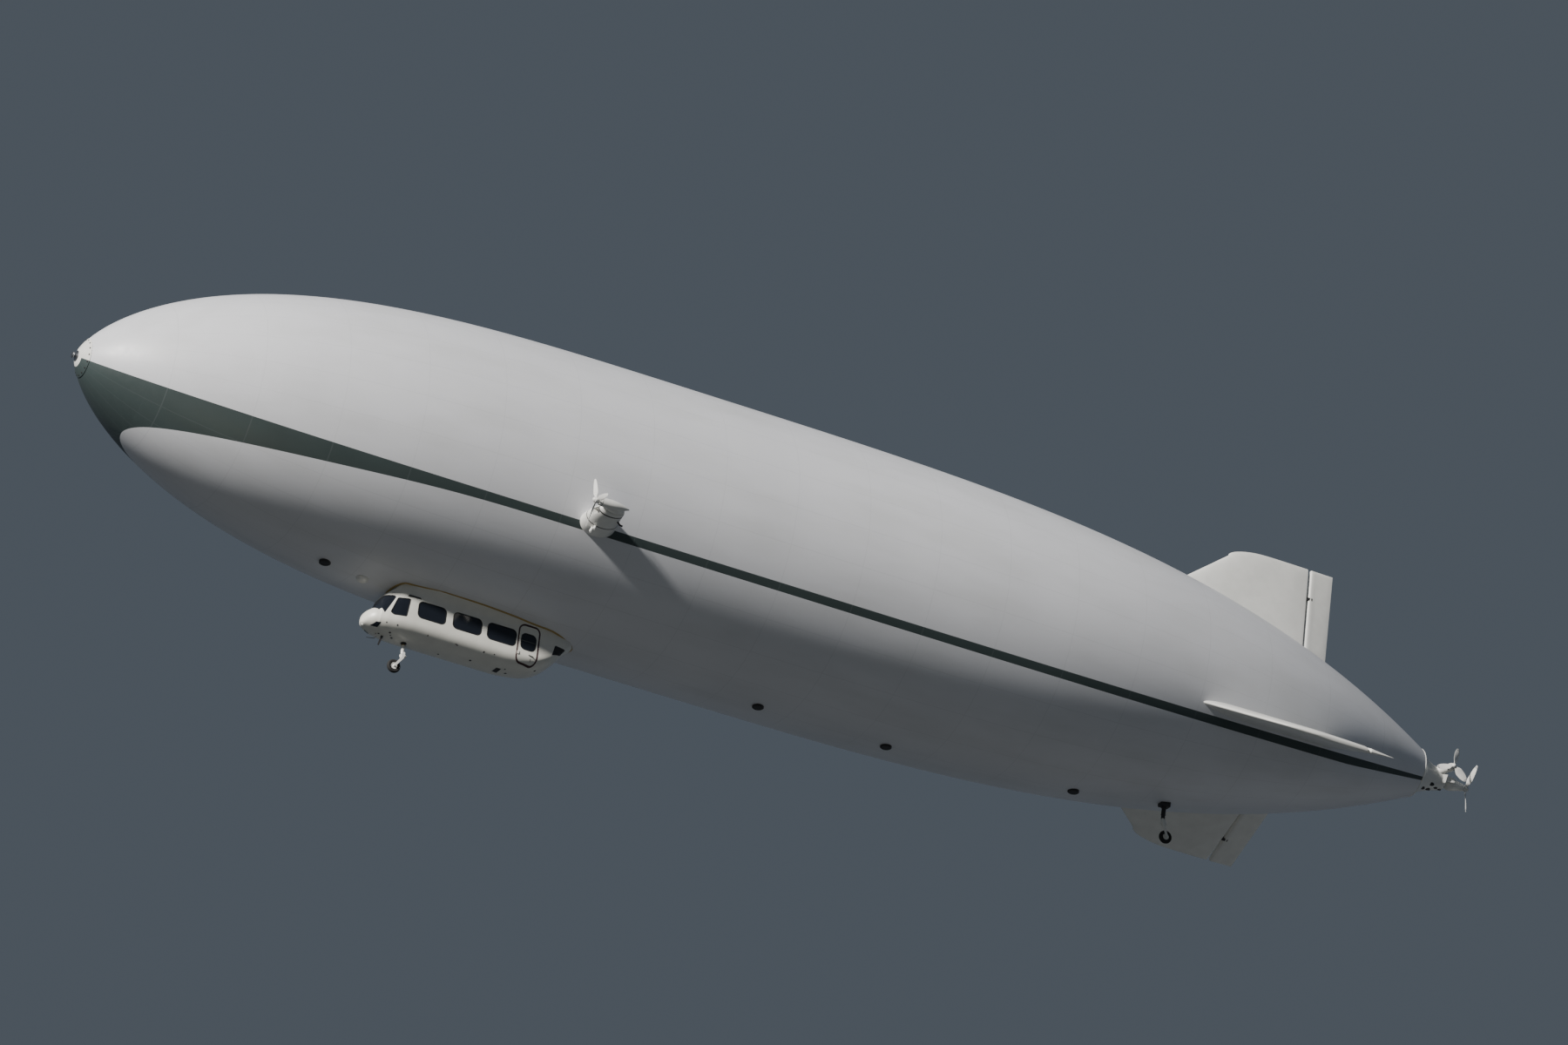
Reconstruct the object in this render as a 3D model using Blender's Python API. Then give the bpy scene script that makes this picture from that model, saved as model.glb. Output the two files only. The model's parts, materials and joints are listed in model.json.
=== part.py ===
# A semi-rigid airship at half its real size, with the nose towards -X, the port side
# towards -Y and up towards +Z. The origin is on the hull's axis at its centre of buoyancy.
# Lengths are metres. A station is a distance aft of the hull's nose tip.

import math

import bmesh
import bpy
from mathutils import Matrix, Vector

# Clearance between pieces that touch
GAP = 0.0003

# Hull: a body of revolution whose radius follows one formula ahead of the widest station
# and another behind it
NOSE_TO_ORIGIN = 17.0
HULL_RADIUS = 3.56
BOW_LENGTH = 15.05
STERN_LENGTH = 21.77
BOW_POWERS = (3.475, 0.680)
STERN_POWERS = (3.4975, 1.008)
ENVELOPE_WALL = 0.010
ENVELOPE_START = 0.08
ENVELOPE_END = 35.65
HULL_SIDES = 40
STATION_TURN = math.radians(5.5)
STATION_REACH = 2.6

# Nose
NOSE_CAP_END = 0.22
NOSE_CAP_WALL = 0.012
NOSE_FLAT_RADIUS = 0.16
NOSE_FLAT_STATION = 0.03
MOORING_REACH = 0.12

# Fins, all three alike, with the lower two below the horizontal by the droop angle
FIN_DROOP = math.radians(25.0)
FIN_ROOT_STATION = 27.155
FIN_ROOT_RADIUS = 1.80
FIN_SHOULDER_STATION = 30.09
FIN_SHOULDER_RADIUS = 4.17
FIN_TIP_STATION = 30.95
FIN_TIP_RADIUS = 4.46
FIN_REAR_STATION = 32.27
HINGE_STATION = 32.40
RUDDER_END_STATION = 32.98
FIN_ROOT_THICKNESS = 0.34
FIN_TIP_THICKNESS = 0.19
RUDDER_HULL_GAP = 0.07
RUDDER_EDGE = 0.010
HINGE_PIN_RADIUS = 0.028
HINGE_PIN_LENGTH = 0.055
HINGE_CLEARANCE = 0.006

# Depth of the valves' and the dome's feet inside the hull's surface
BELLY_SINK = 0.10

# Gondola
GONDOLA_WALL = 0.03
GONDOLA_HALF_WIDTH = 0.5625
GONDOLA_TOP = -3.12
GONDOLA_BOTTOM = -4.775
STRAIGHT_START = -8.01
STRAIGHT_END = -4.80
NOSE_PANEL_END = -8.06
TAIL_PANEL_START = -4.74
FLOOR_PANEL_TOP = -4.49
CEILING_HEIGHT = -3.60
CEILING_THICKNESS = 0.02
DECK_HEIGHT = -4.60
DECK_THICKNESS = 0.02
WINDOW_LOW = -4.21
WINDOW_HIGH = -3.785
WINDOW_CORNER = 0.09
CABIN_WINDOWS = ((-7.95, -7.24), (-7.05, -6.33), (-6.165, -5.47))
REAR_WINDOW = (-5.28, -4.90)
DOOR_SPAN = (-5.35, -4.85)
DOOR_LOW = -4.455
DOOR_HIGH = -3.60
DOOR_CLEARANCE = 0.007
DOOR_GLASS_SPAN = (-5.295, -4.905)
DOOR_HINGE_RADIUS = 0.0097
DOOR_HINGE_OFFSET = 0.010
DOOR_HINGE_HEIGHTS = (-4.31, -3.89)
DOOR_HINGE_LENGTH = 0.08
DOOR_LEAF_WIDTH = 0.044
GLASS = 0.006
GLASS_INSET = 0.008
PANE_GAP = 0.001

# Landing gear
FRONT_PIVOT_X = -7.98
FRONT_WHEEL = (-8.15, -5.28)
FRONT_WHEEL_RADIUS = 0.165
AFT_PIVOT_X = 12.02
AFT_WHEEL = (12.13, -3.66)
AFT_WHEEL_RADIUS = 0.165
WHEEL_WIDTH = 0.10
WHEEL_SIDES = 18
RIM_SHARE = 0.62
FRONT_LEG_LENGTH = 0.075
AFT_BRACKET_DROP = 0.10
AFT_LEG_LENGTH = 0.31
FORK_POST = 0.13
FORK_POST_RADIUS = 0.035

# Side engines: a flat oval pod out of the hull on the swivel axis, with the swivel head past
# its end and the propeller ahead of that
SWIVEL_X = -4.79
SWIVEL_Z = -1.735
POD_SIDES = 24
POD_WALL = 0.014
POD_END = 3.98
PYLON_RADIUS = 0.14
ENGINE_START = 3.26
ENGINE_SIZE = (0.42, 0.40, 0.30)
HEAD_Y = 4.20
HEAD_SIDES = 20
HEAD_REACH = 0.50
COLLAR_RADIUS = 0.13
DRUM_RADIUS = 0.245
DRUM_CLEARANCE = 0.015
PROPELLER_RADIUS = 0.70
PROPELLER_CHORD = 0.15
PROPELLER_REACH = 0.57
SIDE_FIRST_BLADE = 20

# Stern
STERN_FRAME = 0.035
STERN_FRAME_HOLE = 0.10
STERN_WALL = 0.012
STERN_TIP_STATION = 36.45
STERN_ENGINE = (0.42, 0.40, 0.30)
PUSHER_PIVOT_STATION = 36.66
PUSHER_PLANE_STATION = 37.12
PUSHER_SPINDLE = 0.39
YOKE_INSIDE = 0.185
YOKE_THICKNESS = 0.03
LATERAL_STATION = 36.48
LATERAL_Z = 0.24
LATERAL_Y = -0.52
LATERAL_RADIUS = 0.48
LATERAL_CHORD = 0.19
LATERAL_HUB_DEPTH = 0.05
LATERAL_FIRST_BLADE = 80
PUSHER_FIRST_BLADE = 110


def station_x(station):
    return station - NOSE_TO_ORIGIN


def hull_radius(station):
    if station < BOW_LENGTH:
        ahead = (BOW_LENGTH - station) / BOW_LENGTH
        return HULL_RADIUS * max(0.0, 1 - ahead ** BOW_POWERS[0]) ** BOW_POWERS[1]
    behind = (station - BOW_LENGTH) / STERN_LENGTH
    return HULL_RADIUS * max(0.0, 1 - behind ** STERN_POWERS[0]) ** STERN_POWERS[1]


def hull_slope(station):
    step = 0.001
    return math.atan2(hull_radius(station + step) - hull_radius(station - step), 2 * step)


def hull_stations():
    # A new station wherever the outline has turned by a set angle, or has run too far
    stations = [ENVELOPE_START]
    turn = hull_slope(ENVELOPE_START)
    station = ENVELOPE_START
    step = 0.01
    while station < ENVELOPE_END - 0.25:
        station += step
        slope = hull_slope(station)
        if abs(slope - turn) > STATION_TURN or station - stations[-1] > STATION_REACH:
            stations.append(station)
            turn = slope
    return stations + [ENVELOPE_END]


def circle(x, radius, sides=HULL_SIDES):
    angles = [2 * math.pi * i / sides for i in range(sides)]
    return [Vector((x, radius * math.sin(a), radius * math.cos(a))) for a in angles]


def hull_ring(station, offset):
    slope = hull_slope(station)
    x = station_x(station) - offset * math.sin(slope)
    return circle(x, hull_radius(station) + offset * math.cos(slope))


def finish(mesh):
    bmesh.ops.remove_doubles(mesh, verts=mesh.verts, dist=0.00001)
    bmesh.ops.recalc_face_normals(mesh, faces=mesh.faces)


def loft(rings, closed=False):
    # Skins a row of rings with equal counts; the ends are capped unless the row is closed
    mesh = bmesh.new()
    rows = [[mesh.verts.new(point) for point in ring] for ring in rings]
    count = len(rows[0])
    pairs = list(zip(rows, rows[1:]))
    if closed:
        pairs.append((rows[-1], rows[0]))
    for first, second in pairs:
        for i in range(count):
            j = (i + 1) % count
            mesh.faces.new((first[i], first[j], second[j], second[i]))
    if not closed:
        mesh.faces.new(rows[0][::-1])
        mesh.faces.new(rows[-1])
    finish(mesh)
    return mesh


def triangles(mesh):
    # Twisted four-sided faces cut cleanly once they are split
    bmesh.ops.triangulate(mesh, faces=mesh.faces)
    return mesh


def prism(outline, depth):
    # Extrudes an outline by the vector depth
    return loft([[Vector(p) for p in outline], [Vector(p) + Vector(depth) for p in outline]])


def box(low, high):
    mesh = bmesh.new()
    bmesh.ops.create_cube(mesh, size=1.0)
    size = [b - a for a, b in zip(low, high)]
    middle = [(a + b) / 2 for a, b in zip(low, high)]
    bmesh.ops.scale(mesh, vec=size, verts=mesh.verts)
    bmesh.ops.translate(mesh, vec=middle, verts=mesh.verts)
    return mesh


def turned(profile, sides, centre, axis):
    # Turns (distance along the axis, radius) pairs about an axis through the centre
    turn = Vector((0, 0, 1)).rotation_difference(Vector(axis)).to_matrix()
    rings = []
    for along, radius in profile:
        ring = []
        for i in range(sides):
            angle = 2 * math.pi * (i + 0.5) / sides
            point = Vector((radius * math.cos(angle), radius * math.sin(angle), along))
            ring.append(turn @ point + Vector(centre))
        rings.append(ring)
    return loft(rings)


def merge(target, extra):
    # Copies the faces of one mesh into another and frees the first
    copies = {vert: target.verts.new(vert.co) for vert in extra.verts}
    for face in extra.faces:
        target.faces.new([copies[vert] for vert in face.verts])
    extra.free()
    return target


def rounded_rectangle(x_low, x_high, z_low, z_high, radius, steps=3):
    corners = ((x_high - radius, z_high - radius, 0), (x_low + radius, z_high - radius, 90),
               (x_low + radius, z_low + radius, 180), (x_high - radius, z_low + radius, 270))
    outline = []
    for x, z, start in corners:
        for i in range(steps + 1):
            angle = math.radians(start + 90 * i / steps)
            outline.append((x + radius * math.cos(angle), z + radius * math.sin(angle)))
    return outline


def side_prism(outline, y_from, y_to):
    return prism([(x, y_from, z) for x, z in outline], (0, y_to - y_from, 0))


def make_material(name, color, roughness, metallic=0.0, alpha=1.0):
    material = bpy.data.materials.new(name)
    material.use_nodes = True
    shader = material.node_tree.nodes["Principled BSDF"]
    shader.inputs["Base Color"].default_value = (*color, 1.0)
    shader.inputs["Roughness"].default_value = roughness
    shader.inputs["Metallic"].default_value = metallic
    shader.inputs["Alpha"].default_value = alpha
    return material


def make_object(name, mesh, material=None, smooth=True):
    data = bpy.data.meshes.new(name)
    mesh.to_mesh(data)
    mesh.free()
    if smooth:
        data.shade_smooth()
        data.set_sharp_from_angle(angle=math.radians(35))
    if material:
        data.materials.append(material)
    thing = bpy.data.objects.new(name, data)
    bpy.context.scene.collection.objects.link(thing)
    return thing


def make_cutter(name, mesh):
    cutter = make_object(name, mesh, smooth=False)
    cutter.hide_render = True
    cutter.display_type = "WIRE"
    return cutter


def add_boolean(thing, cutter, operation):
    modifier = thing.modifiers.new(cutter.name, "BOOLEAN")
    modifier.operation = operation
    modifier.object = cutter
    return thing


def evaluated(thing):
    # The object's mesh with its modifiers applied, as a new bmesh
    graph = bpy.context.evaluated_depsgraph_get()
    mesh = bmesh.new()
    mesh.from_object(thing, graph)
    return mesh


def remove_all():
    for thing in list(bpy.data.objects):
        bpy.data.objects.remove(thing, do_unlink=True)


def make_envelope(paint):
    stations = hull_stations()
    outer = [hull_ring(s, 0) for s in stations]
    inner = [hull_ring(s, -ENVELOPE_WALL) for s in stations]
    for end in (0, -1):
        for point, rim in zip(inner[end], outer[end]):
            point.x = rim.x
    make_object("envelope", loft(outer + inner[::-1], closed=True), paint["hull"])


def make_hull_cutter():
    rings = [hull_ring(s, GAP) for s in hull_stations()]
    return make_cutter("hull_cutter", loft(rings))


def make_nose(paint):
    stations = [s for s in hull_stations() if s < NOSE_CAP_END] + [NOSE_CAP_END]
    front_x = station_x(NOSE_FLAT_STATION)
    outer = [circle(front_x, NOSE_FLAT_RADIUS)]
    outer += [hull_ring(s, GAP + NOSE_CAP_WALL) for s in stations]
    inner = [circle(front_x + NOSE_CAP_WALL, NOSE_FLAT_RADIUS - NOSE_CAP_WALL)]
    inner += [hull_ring(s, GAP) for s in stations]
    make_object("nose_cap", loft(inner + outer[::-1]), paint["white"])

    probe = [(0, 0.13), (0.02, 0.13), (0.03, 0.10), (0.035, 0.055), (0.07, 0.05),
             (0.075, 0.07), (0.095, 0.08), (MOORING_REACH - 0.01, 0.08), (MOORING_REACH, 0.07)]
    make_object("nose_mooring", turned(probe, 20, (front_x - GAP, 0, 0), (-1, 0, 0)),
                paint["steel"])


def fin_half_thickness(radius):
    share = (radius - FIN_ROOT_RADIUS) / (FIN_TIP_RADIUS - FIN_ROOT_RADIUS)
    return (FIN_ROOT_THICKNESS + (FIN_TIP_THICKNESS - FIN_ROOT_THICKNESS) * share) / 2


def fin_sections():
    # Radius, leading edge station and share of the full thickness, root to tip. The leading
    # edge runs straight to the shoulder and then round a quarter of an ellipse.
    sections = [(FIN_ROOT_RADIUS, FIN_ROOT_STATION, 1.0), (FIN_SHOULDER_RADIUS, FIN_SHOULDER_STATION, 1.0)]
    steps = 4
    for i in range(1, steps + 1):
        angle = math.pi / 2 * i / steps
        rise = FIN_SHOULDER_RADIUS + (FIN_TIP_RADIUS - FIN_SHOULDER_RADIUS) * math.sin(angle)
        run = FIN_TIP_STATION - (FIN_TIP_STATION - FIN_SHOULDER_STATION) * math.cos(angle) ** 1.4
        sections.append((rise, run, max(0.12, math.cos(angle) ** 0.5)))
    return sections


def make_fin_mesh():
    shares = ((0.0, 0.04), (0.02, 0.30), (0.07, 0.56), (0.18, 0.84), (0.38, 1.0), (0.7, 0.93), (1.0, 0.80))
    rings = []
    for radius, lead, bulk in fin_sections():
        half = fin_half_thickness(radius) * bulk
        chord = FIN_REAR_STATION - lead
        side = [(station_x(lead + chord * u), half * t) for u, t in shares]
        ring = [Vector((x, y, radius)) for x, y in side]
        ring += [Vector((x, -y, radius)) for x, y in side[::-1]]
        rings.append(ring)
    return loft(rings)


def make_rudder_mesh():
    root = hull_radius(FIN_REAR_STATION) + RUDDER_HULL_GAP
    shoulder = FIN_TIP_RADIUS - 0.12
    levels = [(root, 1.0), (shoulder, 1.0), (FIN_TIP_RADIUS - 0.03, 0.6), (FIN_TIP_RADIUS, 0.15)]
    hinge_x = station_x(HINGE_STATION)
    chord = RUDDER_END_STATION - HINGE_STATION
    rings = []
    for radius, bulk in levels:
        half = fin_half_thickness(radius) * 0.66 * bulk
        ring = []
        for i in range(7):
            angle = math.pi / 2 + math.pi * i / 6
            ring.append(Vector((hinge_x + half * math.cos(angle), half * math.sin(angle), radius)))
        tail = hinge_x + chord
        edge = RUDDER_EDGE / 2
        ring += [Vector((hinge_x + chord * 0.5, -half * 0.62, radius)), Vector((tail, -edge, radius)),
                 Vector((tail, edge, radius)), Vector((hinge_x + chord * 0.5, half * 0.62, radius))]
        rings.append(ring)
    return loft(rings)


def make_empennage(paint, hull_cutter):
    lower = math.pi / 2 + FIN_DROOP
    for side, angle in (("top", 0.0), ("starboard", -lower), ("port", lower)):
        turn = Matrix.Rotation(angle, 4, "X")
        fin = make_object("fin_" + side, make_fin_mesh(), paint["white"])
        fin.matrix_world = turn
        add_boolean(fin, hull_cutter, "DIFFERENCE")
        rudder = make_object(("rudder_" if side == "top" else "elevator_") + side,
                             make_rudder_mesh(), paint["white"])
        rudder.matrix_world = turn
        make_hinge_pins(side, turn, paint)


def make_hinge_pins(side, turn, paint):
    # A tie on each fin's rear face, with a pin that carries the rudder's foot
    root = hull_radius(FIN_REAR_STATION) + RUDDER_HULL_GAP
    foot = root - HINGE_PIN_LENGTH
    pin = turned([(0, HINGE_PIN_RADIUS), (HINGE_PIN_LENGTH - GAP, HINGE_PIN_RADIUS)], 12,
                 (station_x(HINGE_STATION), 0, foot), (0, 0, 1))
    arm = box((station_x(FIN_REAR_STATION) + GAP, -HINGE_PIN_RADIUS * 0.7, foot),
              (station_x(HINGE_STATION), HINGE_PIN_RADIUS * 0.7, root - HINGE_CLEARANCE))
    thing = make_object("hinge_" + side, pin, paint["dark"])
    add_boolean(thing, make_cutter("hinge_arm_" + side, arm), "UNION")
    thing.matrix_world = turn
    bpy.data.objects["hinge_arm_" + side].matrix_world = turn


# Half sections of the gondola as shares of its half width and of its height above or below
# the widest line: a round top, a square top, and the belly under both
ROUND_TOP = ((0, 1), (0.36, 0.97), (0.68, 0.86), (0.88, 0.64), (0.97, 0.34), (1, 0))
SQUARE_TOP = ((0, 1), (0.36, 1), (0.68, 1), (1, 1), (1, 0.5), (1, 0))
BELLY = ((0.985, 0.34), (0.94, 0.62), (0.82, 0.84), (0.52, 0.97), (0, 1))

GONDOLA_STATIONS = (
    # x, half width, bottom, widest line, top, squareness of the top
    (-9.16, 0.10, -4.53, -4.44, -4.34, 0.0), (-9.11, 0.20, -4.59, -4.43, -4.24, 0.0),
    (-9.02, 0.30, -4.64, -4.42, -4.15, 0.0), (-8.90, 0.39, -4.69, -4.42, -4.07, 0.0),
    (-8.80, 0.44, -4.71, -4.43, -4.03, 0.0), (-8.77, 0.450, -4.717, -4.433, -3.86, 0.05),
    (-8.70, 0.475, -4.725, -4.44, -3.70, 0.15), (-8.60, 0.503, -4.74, -4.46, -3.60, 0.3),
    (-8.50, 0.52, -4.75, -4.475, -3.50, 0.4), (-8.40, 0.538, -4.757, -4.48, -3.38, 0.55),
    (-8.28, 0.550, -4.765, -4.49, -3.18, 0.75),
    (STRAIGHT_START, GONDOLA_HALF_WIDTH, GONDOLA_BOTTOM, -4.505, GONDOLA_TOP, 1.0),
    (STRAIGHT_END, GONDOLA_HALF_WIDTH, GONDOLA_BOTTOM, -4.505, GONDOLA_TOP, 1.0),
    (-4.55, 0.55, -4.66, -4.39, GONDOLA_TOP, 1.0), (-4.25, 0.51, -4.42, -4.15, GONDOLA_TOP, 1.0),
    (-3.98, 0.42, -4.08, -3.86, GONDOLA_TOP, 1.0), (-3.84, 0.26, -3.86, -3.70, GONDOLA_TOP, 1.0))


def gondola_ring(x, half_width, bottom, widest, top, square):
    side = []
    for (y_round, z_round), (y_square, z_square) in zip(ROUND_TOP, SQUARE_TOP):
        share = y_round + (y_square - y_round) * square
        rise = z_round + (z_square - z_round) * square
        side.append((half_width * share, widest + (top - widest) * rise))
    side += [(half_width * share, widest + (bottom - widest) * fall) for share, fall in BELLY]
    ring = side + [(-y, z) for y, z in side[-2:0:-1]]
    return [Vector((x, y, z)) for y, z in ring]


def gondola_form(inset):
    # The outer form drawn in by the inset, along X only ahead of and aft of the straight
    # middle; its open top is carried up past the outer one
    front, tail = GONDOLA_STATIONS[0][0], GONDOLA_STATIONS[-1][0]
    rings = []
    for x, wide, bottom, widest, top, square in GONDOLA_STATIONS:
        ahead = max(0.0, (STRAIGHT_START - x) / (STRAIGHT_START - front))
        aft = max(0.0, (x - STRAIGHT_END) / (tail - STRAIGHT_END))
        shift = inset * (ahead - aft)
        rise = 2 * inset if top == GONDOLA_TOP else -inset * (1 - square)
        rings.append(gondola_ring(x + shift, wide - inset, bottom + inset, widest, top + rise, square))
    return triangles(loft(rings))


def gondola_skin(name, outer_inset, inner_inset):
    # The gondola's form between two insets, open at the top
    skin = make_cutter(name, gondola_form(outer_inset))
    room = make_cutter(name + "_room", gondola_form(inner_inset))
    return add_boolean(skin, room, "DIFFERENCE")


# Side views of the windshield, from its sill and slanting pillar up to the roof's brow, and of
# the window behind the pillar, each with a middle towards which its pane is drawn in
SCREEN_OUTLINE = ((-9.3, -4.05), (-8.83, -4.05), (-8.755, -4.20), (-8.55, -3.80), (-8.50, -3.66),
                  (-8.58, -3.615), (-9.3, -3.615))
SCREEN_MIDDLE = (-8.68, -3.88)
COCKPIT_OUTLINE = ((-8.47, -3.825), (-8.17, -3.77), (-8.19, -4.215), (-8.60, -4.225))
COCKPIT_MIDDLE = (-8.36, -4.0)


def drawn_in(outline, middle, gap):
    points = []
    for point in outline:
        offset = Vector(point) - Vector(middle)
        points.append(Vector(middle) + offset * (1 - gap / offset.length))
    return [(p.x, p.y) for p in points]


def window_cutters(side):
    # The openings in one side of the gondola, as one mesh of separate prisms
    y_from, y_to = side * 0.35, side * 0.8
    mesh = side_prism(COCKPIT_OUTLINE, y_from, y_to)
    spans = list(CABIN_WINDOWS)
    if side > 0:
        spans.append(REAR_WINDOW)
    for low, high in spans:
        outline = rounded_rectangle(low, high, WINDOW_LOW, WINDOW_HIGH, WINDOW_CORNER)
        merge(mesh, side_prism(outline, y_from, y_to))
    if side < 0:
        outline = rounded_rectangle(DOOR_SPAN[0], DOOR_SPAN[1], DOOR_LOW, DOOR_HIGH, WINDOW_CORNER)
        merge(mesh, side_prism(outline, y_from, y_to))
    return mesh


def make_gondola(paint, hull_cutter):
    skin = gondola_skin("gondola_skin", 0.0, GONDOLA_WALL)
    add_boolean(skin, hull_cutter, "DIFFERENCE")
    for label, side in (("port", -1), ("starboard", 1)):
        add_boolean(skin, make_cutter("openings_" + label, window_cutters(side)), "DIFFERENCE")
    screen = make_cutter("screen_opening", side_prism(SCREEN_OUTLINE, -0.7, 0.7))
    add_boolean(skin, screen, "DIFFERENCE")

    far = 1.0
    split = GAP / 2
    ahead, aft = NOSE_PANEL_END, TAIL_PANEL_START
    blocks = {
        "gondola_nose": ((-10, -far, -6), (ahead - split, far, -3)),
        "gondola_floor": ((ahead + split, -far, -6), (aft - split, far, FLOOR_PANEL_TOP - split)),
        "gondola_side_port": ((ahead + split, -far, FLOOR_PANEL_TOP + split), (aft - split, 0, -3)),
        "gondola_side_starboard": ((ahead + split, 0, FLOOR_PANEL_TOP + split), (aft - split, far, -3)),
        "gondola_tail": ((aft + split, -far, -6), (-3, far, -3))}
    for name, (low, high) in blocks.items():
        panel = make_object(name, evaluated(skin), paint["gondola"])
        add_boolean(panel, make_cutter(name + "_block", box(low, high)), "INTERSECT")

    room = make_cutter("cabin_room", gondola_form(GONDOLA_WALL + GAP))
    ceiling = make_object("cabin_ceiling", box((-8.2, -far, CEILING_HEIGHT - CEILING_THICKNESS),
                                               (-4.2, far, CEILING_HEIGHT)), paint["gondola"])
    add_boolean(ceiling, room, "INTERSECT")
    deck = make_object("cabin_deck", box((-8.60, -far, DECK_HEIGHT - DECK_THICKNESS),
                                         (-4.70, far, DECK_HEIGHT)), paint["dark"])
    add_boolean(deck, room, "INTERSECT")


def make_glazing(paint, hull_cutter):
    pane = gondola_skin("pane_skin", GLASS_INSET, GLASS_INSET + GLASS)
    add_boolean(pane, hull_cutter, "DIFFERENCE")
    screen = make_object("windshield", evaluated(pane), paint["glass"])
    edge = side_prism(drawn_in(SCREEN_OUTLINE, SCREEN_MIDDLE, PANE_GAP), -0.69, 0.69)
    add_boolean(screen, make_cutter("screen_edge", edge), "INTERSECT")
    for label, side in (("port", -1), ("starboard", 1)):
        edge = side_prism(drawn_in(COCKPIT_OUTLINE, COCKPIT_MIDDLE, PANE_GAP), side * 0.35, side * 0.8)
        window = make_object("cockpit_window_" + label, evaluated(pane), paint["glass"])
        add_boolean(window, make_cutter("cockpit_edge_" + label, edge), "INTERSECT")

        # One inner strip carries the panes that stand in the cabin's window openings
        spans = list(CABIN_WINDOWS) + ([REAR_WINDOW] if side > 0 else [])
        wall = side * (GONDOLA_HALF_WIDTH - GONDOLA_WALL - GAP)
        strip = box((spans[0][0] - 0.03, min(wall, wall - side * GLASS), WINDOW_LOW - 0.03),
                    (spans[-1][1] + 0.03, max(wall, wall - side * GLASS), WINDOW_HIGH + 0.03))
        glazing = make_object("cabin_glazing_" + label, strip, paint["glass"])
        panes = None
        for low, high in spans:
            outline = rounded_rectangle(low + GAP, high - GAP, WINDOW_LOW + GAP, WINDOW_HIGH - GAP,
                                        WINDOW_CORNER)
            piece = side_prism(outline, wall - side * GLASS / 2,
                               side * (GONDOLA_HALF_WIDTH - GLASS_INSET))
            panes = merge(panes, piece) if panes else piece
        add_boolean(glazing, make_cutter("panes_" + label, panes), "UNION")


def make_door(paint):
    gap = DOOR_CLEARANCE
    outline = rounded_rectangle(DOOR_SPAN[0] + gap, DOOR_SPAN[1] - gap, DOOR_LOW + gap,
                                DOOR_HIGH - gap, WINDOW_CORNER - gap)
    face = -GONDOLA_HALF_WIDTH
    door = make_object("cabin_door", side_prism(outline, face, face + GONDOLA_WALL), paint["gondola"])
    window = rounded_rectangle(*DOOR_GLASS_SPAN, WINDOW_LOW, WINDOW_HIGH, WINDOW_CORNER * 0.7)
    hole = make_cutter("door_window_opening", side_prism(window, face - 0.1, face + 0.1))
    add_boolean(door, hole, "DIFFERENCE")
    edge = DOOR_SPAN[0] + gap
    axis_y = face - DOOR_HINGE_OFFSET
    for i, low in enumerate(DOOR_HINGE_HEIGHTS):
        barrel = turned([(0, DOOR_HINGE_RADIUS), (DOOR_HINGE_LENGTH, DOOR_HINGE_RADIUS)], 12,
                        (edge, axis_y, low), (0, 0, 1))
        leaf = box((edge, axis_y - DOOR_HINGE_RADIUS * 0.4, low + 0.004),
                   (edge + DOOR_LEAF_WIDTH, face + 0.004, low + DOOR_HINGE_LENGTH - 0.004))
        add_boolean(door, make_cutter(f"door_leaf_{i}", leaf), "UNION")
        add_boolean(door, make_cutter(f"door_barrel_{i}", barrel), "UNION")
    window = rounded_rectangle(DOOR_GLASS_SPAN[0] + GAP, DOOR_GLASS_SPAN[1] - GAP,
                               WINDOW_LOW + GAP, WINDOW_HIGH - GAP, WINDOW_CORNER * 0.7)
    make_object("door_glass", side_prism(window, face + GLASS_INSET, face + GLASS_INSET + GLASS),
                paint["glass"])


SEAT_PROFILE = ((0.0, 0.0), (0.20, 0.0), (0.20, 0.13), (0.27, 0.52), (0.22, 0.53), (0.14, 0.22),
                (-0.03, 0.22), (-0.03, 0.14), (0.0, 0.12))


def seat(x, y_low, y_high):
    base = DECK_HEIGHT + GAP + 0.012
    return prism([(x + u, y_low, base + v - 0.001) for u, v in SEAT_PROFILE], (0, y_high - y_low, 0))


def make_seats(paint):
    rows = [-7.80 + 0.43 * i for i in range(6)]
    floor = DECK_HEIGHT + GAP
    for label, side in (("port", -1), ("starboard", 1)):
        inner, outer = side * 0.21, side * 0.43
        low, high = min(inner, outer), max(inner, outer)
        count = 5 if side < 0 else 6
        rail = box((rows[0], low + 0.05, floor), (rows[count - 1] + 0.2, high - 0.05, floor + 0.012))
        seats = None
        for x in rows[:count]:
            piece = seat(x, low, high)
            seats = merge(seats, piece) if seats else piece
        thing = make_object("seats_" + label, rail, paint["seat"])
        add_boolean(thing, make_cutter("seat_row_" + label, seats), "UNION")
    pilots = merge(seat(-8.36, -0.36, -0.13), seat(-8.36, 0.13, 0.36))
    rail = box((-8.36, -0.3, floor), (-8.20, 0.3, floor + 0.012))
    thing = make_object("pilot_seats", rail, paint["seat"])
    add_boolean(thing, make_cutter("pilot_pair", pilots), "UNION")
    panel = [(-8.56, DECK_HEIGHT + GAP), (-8.46, DECK_HEIGHT + GAP), (-8.47, -4.33), (-8.56, -4.12),
             (-8.66, -4.10), (-8.66, -4.30), (-8.56, -4.34)]
    make_object("instrument_panel", side_prism(panel, -0.27, 0.27), paint["dark"])


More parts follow.
